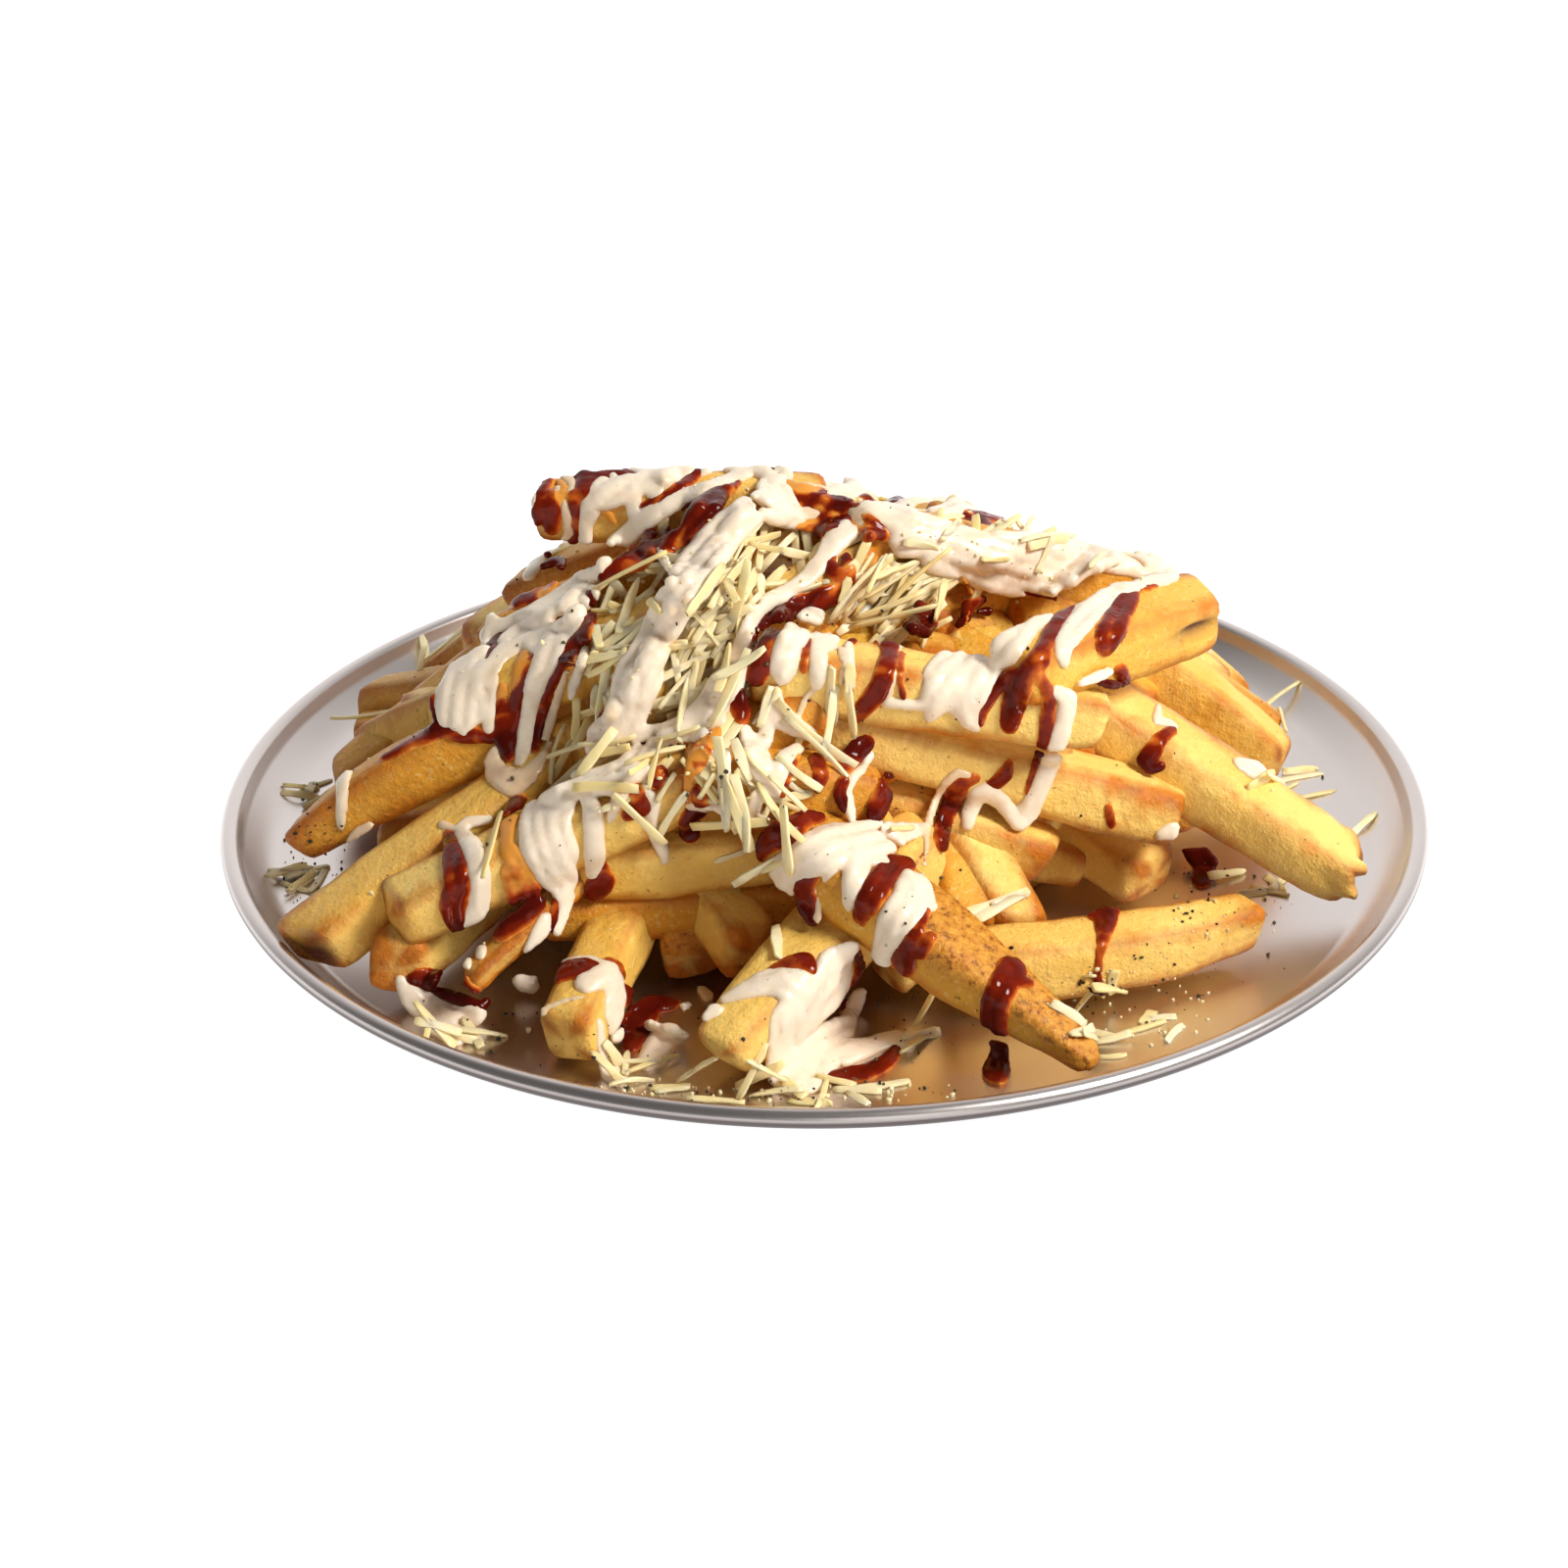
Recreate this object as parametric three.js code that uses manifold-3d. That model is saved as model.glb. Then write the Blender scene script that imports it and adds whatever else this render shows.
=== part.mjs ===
// A round steel dish heaped with thick-cut fries, which carry thick strands of garlic sauce and
// barbecue sauce and a scatter of grated cheese.
//
// Units are millimetres, +Z is up, and the origin is the centre of the dish's flat underside.
// The diner sits at -Y, the side where the heap spreads furthest over the dish.
import * as THREE from "three";
import { mergeVertices } from "three/addons/utils/BufferGeometryUtils.js";
import Module from "manifold-3d";

const wasm = await Module();
wasm.setup();

// Driving dimensions of the dish
const DISH_RADIUS = 115;
const SHEET = 0.8;
const BEAD_RADIUS = 1.75;
const BEAD_HEIGHT = 7;
const BEAD_MIDDLE = DISH_RADIUS - BEAD_RADIUS;
const WALL_FOOT = 104;
const WALL_CURVE = 1.7;
const DISH_SEGMENTS = 60;
const WALL_STEPS = 3;
const BEAD_STEPS = 6;
const BEAD_FROM = -0.75 * Math.PI;
const BEAD_TO = 0.85 * Math.PI;

// Corners closer than this are one corner
const MERGED = 1e-3;

// Driving dimensions of the fries: a fry rests a gap above the sheet that carries it
const GAP = 0.3;
const FLOOR = SHEET + GAP;
const FRY = 11;
const FRY_RINGS = 3;
const END_TAPER = 0.78;

// Driving dimensions of the heap: the mound that the outer fries lie on, and the core inside it
const HEAP_RADIUS = 100;
const HEAP_HEIGHT = 62;
const HEAP_FALL = 1.8;
const CORE = { radius: 52, foot: 55, sink: 8, back: 5, rings: 3, sides: 16 };

// Driving dimensions of the toppings
const STRAND = 3.6;
const STRAND_SIDES = 5;
const STRAND_STEP = 9;
const STRAND_SAG = 1.2;
const STRAND_SETTLINGS = 12;
const SHORTEST_STRAND = 4 * STRAND_STEP;
const SHRED = { length: 16, width: 2.2, thickness: 1.2 };
const LOWEST_TOPPING = 8;
const HEAP_CHEESE = { count: 30, spread: 62, crowding: 0.8, middle: [0, -12], lean: 0.45, seed: 5 };
const DISH_CHEESE = { count: 10, nearest: 84, farthest: 96, seed: 9 };

// Fries that lie where the diner sees them: the tip, the tail inside the heap, and where they
// differ from the usual fry, the section's width and height, the bow upwards and the sway sideways.
const PLACED_FRIES = {
  left_low: { tip: [-93, -57, 8], tail: [-35, -28, 40] },
  left_front: { tip: [-77, -60, 16], tail: [-22, -56, 42], width: 12 },
  left_arched: { tip: [-97, -29, 14], tail: [-28, -27, 44], bow: 5 },
  left_back_upper: { tip: [-90, 34, 12], tail: [-40, 5, 30] },
  left_back_lower: { tip: [-92, 23, 9], tail: [-45, 5, 20] },
  left_hidden: { tip: [-84, -14, 8], tail: [-35, -14, 14] },
  under_left: { tip: [-77, -65, 8], tail: [-50, -20, 16] },
  crisp_chip: { tip: [-63, -73, 10], tail: [-35, -52, 28], width: 7, height: 5 },
  long_low: { tip: [-51, -57, 14], tail: [8, -50, 14], width: 10, height: 9 },
  long_low_upper: { tip: [-45, -57, 24], tail: [12, -50, 26] },
  front_left_stub: { tip: [-45, -88, 7], tail: [-32, -40, 14] },
  dark_end: { tip: [-25, -60, 7], tail: [-20, -20, 14] },
  front_center: { tip: [-19, -94, 7.5], tail: [18, -48, 24], width: 13, height: 12 },
  skin_front: { tip: [44, -97, 7], tail: [-8, -62, 34], width: 14 },
  right_front: { tip: [76, -51, 8], tail: [20, -68, 9], sway: -4 },
  stub_right: { tip: [60, -35, 8], tail: [32, -12, 18], width: 13 },
  leaning: { tip: [10, -66, 8], tail: [42, -28, 23], width: 12 },
  dark_skin_end: { tip: [35, -33, 7], tail: [10, -10, 16] },
  shade_right: { tip: [49, -29, 8], tail: [15, -18, 14] },
  under_mid_right: { tip: [40, -44, 17], tail: [0, -40, 32] },
  mid_right: { tip: [64, -37, 22], tail: [-6, -46, 48], width: 12 },
  right_long: { tip: [97, -39, 9], tail: [33, -22, 48], width: 13 },
  block_end: { tip: [49, -46, 46], tail: [-12, -46, 57], width: 12, height: 12 },
  top_right: { tip: [70, -15, 53], tail: [32, -51, 57], width: 13, height: 13 },
  back_right: { tip: [86, 11, 9], tail: [35, 20, 36] },
  ridge_right: { tip: [65, 3, 48], tail: [5, -14, 69] },
  ridge_mid: { tip: [18, -7, 62], tail: [-20, 0, 68] },
  top_left: { tip: [-52, 2, 67], tail: [0, -4, 70] },
  left_shoulder: { tip: [-57, 12, 44], tail: [-20, 2, 64] },
  left_bulb: { tip: [-69, -24, 40], tail: [-14, -34, 63], width: 12 },
  left_upper: { tip: [-62, -11, 46], tail: [-12, -15, 68] },
  mid_center: { tip: [10, -55, 36], tail: [-25, -60, 44] },
  center_left: { tip: [-39, -50, 32], tail: [0, -48, 52] },
  center_slope: { tip: [-38, -44, 46], tail: [8, -16, 64] },
};

// Rings of fries that finish the heap on the side away from the diner
const BACK_RINGS = [
  { count: 15, reach: 92, turn: 0.5 },
  { count: 8, reach: 80, turn: 1.1 },
  { count: 6, reach: 64, turn: 1.2 },
  { count: 4, reach: 46, turn: 1.2 },
];
const BACK_FROM = -0.1;
const BACK_TO = Math.PI + 0.1;
const BACK_FRY = { shortest: 52, longest: 78 };
const BACK_SEED = 11;

// Strands of sauce in plan: each starts at the middle of a line across the heap and runs along
// the way the bottle was swung.
const SAUCES = {
  garlic: { swing: [-0.56, -0.83], spacing: 22, offset: -4, count: 4, reach: 78 },
  barbecue: { swing: [-0.34, -0.94], spacing: 30, offset: 5, count: 3, reach: 74 },
};

// A repeatable draw from 0 to 1, as a linear congruential generator of 32 bits
const DRAW = { factor: 1664525, step: 1013904223, range: 2 ** 32 };

function drawFrom(seed) {
  let state = seed;
  return () => {
    state = (Math.imul(state, DRAW.factor) + DRAW.step) >>> 0;
    return state / DRAW.range;
  };
}

// The height at which the middle of an outer fry lies, at a distance from the heap's middle
function moundHeight(distance) {
  const share = Math.min(1, distance / HEAP_RADIUS);
  const lowest = FLOOR + FRY / 2;
  return Math.max(lowest, HEAP_HEIGHT * (1 - share ** HEAP_FALL));
}

// The height of the dish's upper surface at a distance from the middle: flat, then a curved wall
function dishTop(distance) {
  const share = Math.max(0, distance - WALL_FOOT) / (BEAD_MIDDLE - WALL_FOOT);
  return SHEET + BEAD_HEIGHT * share ** WALL_CURVE;
}

function toSolid(geometry) {
  const bare = new THREE.BufferGeometry();
  bare.setAttribute("position", geometry.getAttribute("position"));
  if (geometry.index) bare.setIndex(geometry.index);
  const merged = mergeVertices(bare, MERGED);
  return new wasm.Manifold(
    new wasm.Mesh({
      numProp: 3,
      vertProperties: merged.attributes.position.array,
      triVerts: new Uint32Array(merged.index.array),
    }),
  );
}

function toGeometry(solid) {
  const mesh = solid.getMesh();
  const geometry = new THREE.BufferGeometry();
  geometry.setAttribute("position", new THREE.BufferAttribute(mesh.vertProperties, 3));
  geometry.setIndex(new THREE.BufferAttribute(mesh.triVerts, 1));
  geometry.computeVertexNormals();
  return geometry;
}

// Joins the pieces, keeps the largest, and fills what the joining sealed inside it
function fuse(pieces) {
  const joined = pieces.reduce((whole, piece) => whole.add(piece));
  const bodies = joined.decompose();
  return bodies.reduce((largest, body) => (body.volume() > largest.volume() ? body : largest));
}

// A fry: a bar of square section, tapered at both ends and laid along a curve from its tail to its
// tip. Its underside is flat where the dish carries it.
function frySolid({ tip, tail, width = FRY, height = FRY, bow = 0, sway = 0 }) {
  const from = new THREE.Vector3(...tail);
  const to = new THREE.Vector3(...tip);
  const along = to.clone().sub(from).normalize();
  const side = new THREE.Vector3(0, 0, 1).cross(along).normalize();
  const up = along.clone().cross(side);
  const middle = from.clone().add(to).multiplyScalar(0.5);
  middle.addScaledVector(up, 2 * bow).addScaledVector(side, 2 * sway);
  const curve = new THREE.QuadraticBezierCurve3(from, middle, to);

  const geometry = new THREE.BoxGeometry(width, height, 1, 1, 1, FRY_RINGS);
  const position = geometry.getAttribute("position");
  for (let i = 0; i < position.count; i++) {
    const share = 0.5 + position.getZ(i);
    const taper = share === 0 || share === 1 ? END_TAPER : 1;
    const tangent = curve.getTangent(share);
    const across = new THREE.Vector3(0, 0, 1).cross(tangent).normalize();
    const point = curve.getPoint(share);
    point.addScaledVector(across, taper * position.getX(i));
    point.addScaledVector(tangent.cross(across), taper * position.getY(i));
    const lowest = dishTop(Math.hypot(point.x, point.y)) + GAP;
    position.setXYZ(i, point.x, point.y, Math.max(point.z, lowest));
  }
  return toSolid(geometry);
}

function backFries() {
  const draw = drawFrom(BACK_SEED);
  const fries = [];
  for (const { count, reach, turn } of BACK_RINGS) {
    for (let k = 0; k < count; k++) {
      const share = (k + 0.2 + 0.6 * draw()) / count;
      const bearing = BACK_FROM + share * (BACK_TO - BACK_FROM);
      const heading = bearing + (2 * draw() - 1) * turn;
      const { shortest, longest } = BACK_FRY;
      const length = shortest + draw() * (longest - shortest);
      const away = reach * (0.94 + 0.1 * draw());
      const tip = [away * Math.cos(bearing), away * Math.sin(bearing)];
      const tail = [
        tip[0] - length * Math.cos(heading),
        tip[1] - length * Math.sin(heading),
      ];
      fries.push({
        tip: [...tip, moundHeight(Math.hypot(...tip))],
        tail: [...tail, moundHeight(Math.hypot(...tail))],
        width: FRY * (0.9 + 0.2 * draw()),
        bow: 2 * draw(),
      });
    }
  }
  return fries;
}

// The core: a drum whose top follows the mound a little below the fries that lie on it
function coreSolid() {
  const profile = [new THREE.Vector2(0, FLOOR), new THREE.Vector2(CORE.foot, FLOOR)];
  for (let i = CORE.rings; i >= 0; i--) {
    const distance = (CORE.radius * i) / CORE.rings;
    profile.push(new THREE.Vector2(distance, moundHeight(distance) - CORE.sink));
  }
  const geometry = new THREE.LatheGeometry(profile, CORE.sides);
  geometry.rotateX(Math.PI / 2);
  geometry.translate(0, CORE.back, 0);
  return toSolid(geometry);
}

// Where a thing dropped from above at (x, y) lands on the heap, or nothing beside it or at its foot
function landing(target, x, y) {
  const start = new THREE.Vector3(x, y, 2 * HEAP_HEIGHT);
  const hit = new THREE.Raycaster(start, new THREE.Vector3(0, 0, -1)).intersectObject(target)[0];
  return hit && hit.point.z > LOWEST_TOPPING ? hit.point : null;
}

// A strand of sauce laid over the heap: it follows the fries and bridges the gaps between them
function strandSolid(target, [x, y], [dx, dy], reach) {
  const points = [];
  for (let s = -reach; s <= reach; s += STRAND_STEP) {
    const hit = landing(target, x + dx * s, y + dy * s);
    if (hit) points.push(hit);
    else if (points.length) break;
  }
  for (let pass = 0; pass < STRAND_SETTLINGS; pass++) {
    for (let i = 1; i < points.length - 1; i++) {
      const bridge = (points[i - 1].z + points[i + 1].z) / 2 - STRAND_SAG;
      points[i].z = Math.max(points[i].z, bridge);
    }
  }
  if (points.length * STRAND_STEP < SHORTEST_STRAND) return null;
  const section = new THREE.Shape();
  for (let i = 0; i < STRAND_SIDES; i++) {
    const angle = (2 * Math.PI * i) / STRAND_SIDES;
    const corner = [(STRAND / 2) * Math.cos(angle), (STRAND / 2) * Math.sin(angle)];
    if (i) section.lineTo(...corner);
    else section.moveTo(...corner);
  }
  return toSolid(
    new THREE.ExtrudeGeometry(section, {
      steps: points.length - 1,
      extrudePath: new THREE.CatmullRomCurve3(points),
      bevelEnabled: false,
    }),
  );
}

function sauceStrands(target) {
  const strands = [];
  for (const { swing, spacing, offset, count, reach } of Object.values(SAUCES)) {
    const across = [-swing[1], swing[0]];
    for (let k = 0; k < count; k++) {
      const shift = offset + (k - (count - 1) / 2) * spacing;
      const start = [across[0] * shift, across[1] * shift];
      const strand = strandSolid(target, start, swing, Math.sqrt(reach ** 2 - shift ** 2));
      if (strand) strands.push(strand);
    }
  }
  return strands;
}

function shredSolid([x, y, z], heading, tilt) {
  const strip = new THREE.BoxGeometry(SHRED.length, SHRED.width, SHRED.thickness);
  strip.rotateY(tilt);
  strip.rotateZ(heading);
  strip.translate(x, y, z);
  return toSolid(strip);
}

// Cheese on the heap is thickest over its middle and lies half sunk in what it fell on
function heapShreds(target) {
  const { count, spread, crowding, middle, lean, seed } = HEAP_CHEESE;
  const draw = drawFrom(seed);
  const shreds = [];
  while (shreds.length < count) {
    const bearing = 2 * Math.PI * draw();
    const distance = spread * draw() ** crowding;
    const heading = Math.PI * draw();
    const tilt = lean * (2 * draw() - 1);
    const x = middle[0] + distance * Math.cos(bearing);
    const y = middle[1] + distance * Math.sin(bearing);
    const hit = landing(target, x, y);
    if (hit) shreds.push(shredSolid(hit.toArray(), heading, tilt));
  }
  return shreds;
}

// Cheese that missed the heap lies on the dish, clear of the fries
function dishShreds(heap) {
  const { count, nearest, farthest, seed } = DISH_CHEESE;
  const draw = drawFrom(seed);
  const shreds = [];
  const height = SHEET + SHRED.thickness / 4;
  while (shreds.length < count) {
    const bearing = 2 * Math.PI * draw();
    const distance = nearest + draw() * (farthest - nearest);
    const at = [distance * Math.cos(bearing), distance * Math.sin(bearing), height];
    const shred = shredSolid(at, Math.PI * draw(), 0);
    const raised = shred.translate([0, 0, GAP]);
    const touches = (other) => raised.intersect(other).volume() > 0;
    if (!touches(heap) && !shreds.some(touches)) shreds.push(shred);
  }
  return shreds;
}

// The dish: a flat floor, a short curved wall and a rolled bead round the edge, as one section
function dishSolid() {
  const wall = (step) => WALL_FOOT + ((BEAD_MIDDLE - WALL_FOOT) * step) / WALL_STEPS;
  const profile = [new THREE.Vector2(0, 0), new THREE.Vector2(WALL_FOOT, 0)];
  for (let i = 1; i < WALL_STEPS; i++) {
    profile.push(new THREE.Vector2(wall(i), dishTop(wall(i)) - SHEET));
  }
  for (let i = 0; i <= BEAD_STEPS; i++) {
    const angle = BEAD_FROM + (i / BEAD_STEPS) * (BEAD_TO - BEAD_FROM);
    const r = BEAD_MIDDLE + BEAD_RADIUS * Math.cos(angle);
    profile.push(new THREE.Vector2(r, BEAD_HEIGHT + BEAD_RADIUS * Math.sin(angle)));
  }
  for (let i = WALL_STEPS - 1; i >= 0; i--) {
    profile.push(new THREE.Vector2(wall(i) - SHEET / 2, dishTop(wall(i))));
  }
  profile.push(new THREE.Vector2(0, SHEET));
  const geometry = new THREE.LatheGeometry(profile, DISH_SEGMENTS);
  geometry.rotateX(Math.PI / 2);
  return toSolid(geometry);
}

const STEEL = new THREE.MeshStandardMaterial({ color: 0xb9b0ad, roughness: 0.32, metalness: 1 });
const FRIED = new THREE.MeshStandardMaterial({ color: 0xd9a441, roughness: 0.55, metalness: 0 });

function named(name, solid, material) {
  const mesh = new THREE.Mesh(toGeometry(solid), material);
  mesh.name = name;
  return mesh;
}

const fries = [...Object.values(PLACED_FRIES), ...backFries()];
const bareHeap = fuse([coreSolid(), ...fries.map(frySolid)]);
const bareMesh = new THREE.Mesh(toGeometry(bareHeap));
const heap = fuse([bareHeap, ...sauceStrands(bareMesh), ...heapShreds(bareMesh)]);
const dish = fuse([dishSolid(), ...dishShreds(heap)]);

const group = new THREE.Group();
group.add(named("dish", dish, STEEL));
group.add(named("fries_heap", heap, FRIED));

export default group;
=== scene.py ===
"""The looks of the dish of fries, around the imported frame.

Lengths are in millimetres, with the dish standing on z = 0 and -Y towards the camera. Places that
were measured in the photograph are in its pixels, in an image of 1600 by 1600.
"""

import math

import bpy
import numpy as np
from mathutils import Matrix, Vector, noise
from mathutils.bvhtree import BVHTree
from mathutils.kdtree import KDTree


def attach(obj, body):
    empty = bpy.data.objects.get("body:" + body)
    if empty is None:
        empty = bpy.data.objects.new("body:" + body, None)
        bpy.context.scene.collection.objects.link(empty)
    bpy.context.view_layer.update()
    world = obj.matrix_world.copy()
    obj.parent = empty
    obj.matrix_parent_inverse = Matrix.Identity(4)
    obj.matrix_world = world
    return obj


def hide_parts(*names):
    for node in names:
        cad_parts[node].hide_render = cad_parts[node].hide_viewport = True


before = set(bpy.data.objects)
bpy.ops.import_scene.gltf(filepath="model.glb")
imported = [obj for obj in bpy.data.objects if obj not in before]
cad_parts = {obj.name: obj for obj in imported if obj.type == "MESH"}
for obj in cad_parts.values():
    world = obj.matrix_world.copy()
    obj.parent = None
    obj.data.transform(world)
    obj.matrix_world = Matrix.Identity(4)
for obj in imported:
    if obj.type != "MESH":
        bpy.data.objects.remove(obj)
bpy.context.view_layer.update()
MM = 0.001

# The camera of the photograph: its focal length is in pixels
IMAGE = 1600
FOCAL = 3600
SENSOR = 36
LOOK_AT = Vector((-7.5, 19.2, 0))
DISTANCE = 700
ELEVATION = math.radians(27.5)
ROLL = math.radians(0.75)

# The dish, as in the part's source
DISH_RADIUS = 115
SHEET = 0.8
BEAD_RADIUS = 1.75
BEAD_HEIGHT = 7
BEAD_MIDDLE = DISH_RADIUS - BEAD_RADIUS
WALL_FOOT = 104
WALL_CURVE = 1.7
BEAD_FROM = -0.75 * math.pi
BEAD_TO = 0.85 * math.pi
DISH_SIDES = 288
WALL_STEPS = 12
BEAD_STEPS = 18
FLOOR_RINGS = (8, 20, 36, 52, 68, 84, 96)

# The heap, as in the part's source
GAP = 0.3
FLOOR = SHEET + GAP
FRY = 11
HEAP_RADIUS = 100
HEAP_HEIGHT = 62
HEAP_FALL = 1.8
CORE_RADIUS = 50
CORE_SINK = 15
CORE_BACK = 5

# The fries that the photograph shows, as in the part's source, with how each one looks
PLACED_FRIES = {
    "left_low": dict(
        tip=(-93, -57, 8), tail=(-35, -28, 40), width=12.5, skin=0.1, burn=1.0, slant=-0.5,
        point=0.97, crisp=0.2, tone=0.75,
    ),
    # left_front's high tone is partly painted light on its lit faces.
    "left_front": dict(tip=(-77, -60, 16), tail=(-22, -56, 42), width=12, crisp=0.45, tone=0.85),
    # left_arched's low tone and strong browning are partly painted shade, as it lies under left_bulb.
    "left_arched": dict(tip=(-97, -29, 14), tail=(-28, -27, 44), bow=5, crisp=0.75, tone=0.1, point=0.62),
    "left_back_upper": dict(tip=(-90, 34, 12), tail=(-40, 5, 30), crisp=0.5),
    "left_back_lower": dict(tip=(-92, 23, 9), tail=(-45, 5, 20), crisp=0.3),
    "left_hidden": dict(tip=(-84, -14, 8), tail=(-35, -14, 14)),
    "under_left": dict(tip=(-77, -65, 8), tail=(-50, -20, 16), crisp=0.6),
    "crisp_chip": dict(tip=(-63, -73, 10), tail=(-35, -52, 28), width=6, height=4, crisp=1.4),
    # long_low's lowest tone and strong browning are partly painted shade under the fries above it.
    "long_low": dict(tip=(-51, -57, 14), tail=(8, -50, 14), width=10, height=9, tone=0, crisp=0.7),
    "long_low_upper": dict(tip=(-45, -57, 24), tail=(12, -50, 26)),
    # front_left_stub's high tone and pale end are partly painted light on its front.
    "front_left_stub": dict(tip=(-45, -88, 7), tail=(-32, -40, 14), crisp=0.3, tone=0.7, pale_and_lit_end=0.5),
    "dark_end": dict(tip=(-25, -60, 7), tail=(-20, -20, 14), skin=0.9, crisp=0.8),
    # front_center's high tone, lack of browning and pale end are partly painted light on its front.
    "front_center": dict(tip=(-19, -94, 7.5), tail=(18, -48, 24), width=13, height=12, crisp=0, tone=0.85, pale_and_lit_end=0.7),
    "skin_front": dict(tip=(44, -97, 7), tail=(-8, -62, 34), width=14, skin=0.9, point=0.36),
    "right_front": dict(tip=(76, -51, 8), tail=(20, -68, 9), sway=-4, crisp=0.3, tone=0.8, point=0.74),
    "stub_right": dict(tip=(60, -35, 8), tail=(32, -12, 18), width=13, skin=0.2),
    "leaning": dict(tip=(10, -66, 8), tail=(42, -28, 23), width=12, crisp=0, tone=1),
    "dark_skin_end": dict(tip=(35, -33, 7), tail=(10, -10, 16), skin=1.0, crisp=0.7),
    "shade_right": dict(tip=(49, -29, 8), tail=(15, -18, 14)),
    "under_mid_right": dict(tip=(40, -44, 17), tail=(0, -40, 32)),
    "mid_right": dict(tip=(64, -37, 22), tail=(-6, -46, 48), width=12, crisp=0.35),
    # right_long's high tone is partly painted light on its lit top.
    "right_long": dict(tip=(97, -39, 9), tail=(33, -22, 48), width=13, crisp=0.25, torn=0.9, tone=0.9),
    "block_end": dict(tip=(49, -46, 46), tail=(-12, -46, 57), width=12, height=12, crisp=0.5, pale_and_lit_end=0.6),
    "top_right": dict(tip=(70, -15, 53), tail=(32, -51, 57), width=13, height=13, split=1.5, crisp=0.3, tone=0.5),
    "back_right": dict(tip=(86, 11, 9), tail=(35, 20, 36), crisp=0.6, point=0.4),
    "ridge_right": dict(tip=(65, 3, 48), tail=(5, -14, 69)),
    "ridge_mid": dict(tip=(18, -7, 62), tail=(-20, 0, 68)),
    "top_left": dict(tip=(-52, 2, 67), tail=(0, -4, 70)),
    "left_shoulder": dict(tip=(-57, 12, 44), tail=(-20, 2, 64)),
    "left_bulb": dict(tip=(-69, -24, 40), tail=(-14, -34, 63), width=12),
    "left_upper": dict(tip=(-62, -11, 46), tail=(-12, -15, 68)),
    "mid_center": dict(tip=(10, -55, 36), tail=(-25, -60, 44), skin=0.5, crisp=0.6),
    "center_left": dict(tip=(-39, -50, 32), tail=(0, -48, 52)),
    "center_slope": dict(tip=(-38, -44, 46), tail=(8, -16, 64)),
}

# The fries at the back, by the same rule and draws as in the part's source
BACK_RINGS = (
    dict(count=15, reach=92, turn=0.5),
    dict(count=8, reach=80, turn=1.1),
    dict(count=6, reach=64, turn=1.2),
    dict(count=4, reach=46, turn=1.2),
)
BACK_FROM = -0.1
BACK_TO = math.pi + 0.1
BACK_SHORTEST = 52
BACK_LONGEST = 78
BACK_SEED = 11
DRAW_FACTOR = 1664525
DRAW_STEP = 1013904223
DRAW_RANGE = 2 ** 32

# Fries inside the heap, which show only in the gaps between the outer ones
INNER_RINGS = (
    dict(count=16, reach=62, sink=9),
    dict(count=14, reach=48, sink=9),
    dict(count=12, reach=70, sink=22),
    dict(count=8, reach=30, sink=8),
)
INNER_LENGTH = (38, 58)
INNER_SEED = 23

# How finely a fry is made, and how rough it is
SECTION_POINTS = 24
SECTION_POWER = 5.5
RING_STEP = 2.3
COARSE_STEP = 3.4
END_RINGS = (0, 0.2, 0.6, 1.3, 2.6, 4.6)
END_ROUND = 2.0
TAPER_LENGTH = 12
POINT_LENGTH = 34
BURN_RADIUS = 4.6
LUMP_SIZE = 8
LUMP_HEIGHT = 0.45
GRAIN_SIZE = 2.2
GRAIN_HEIGHT = 0.14
LOOK_SEED = 300
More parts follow.
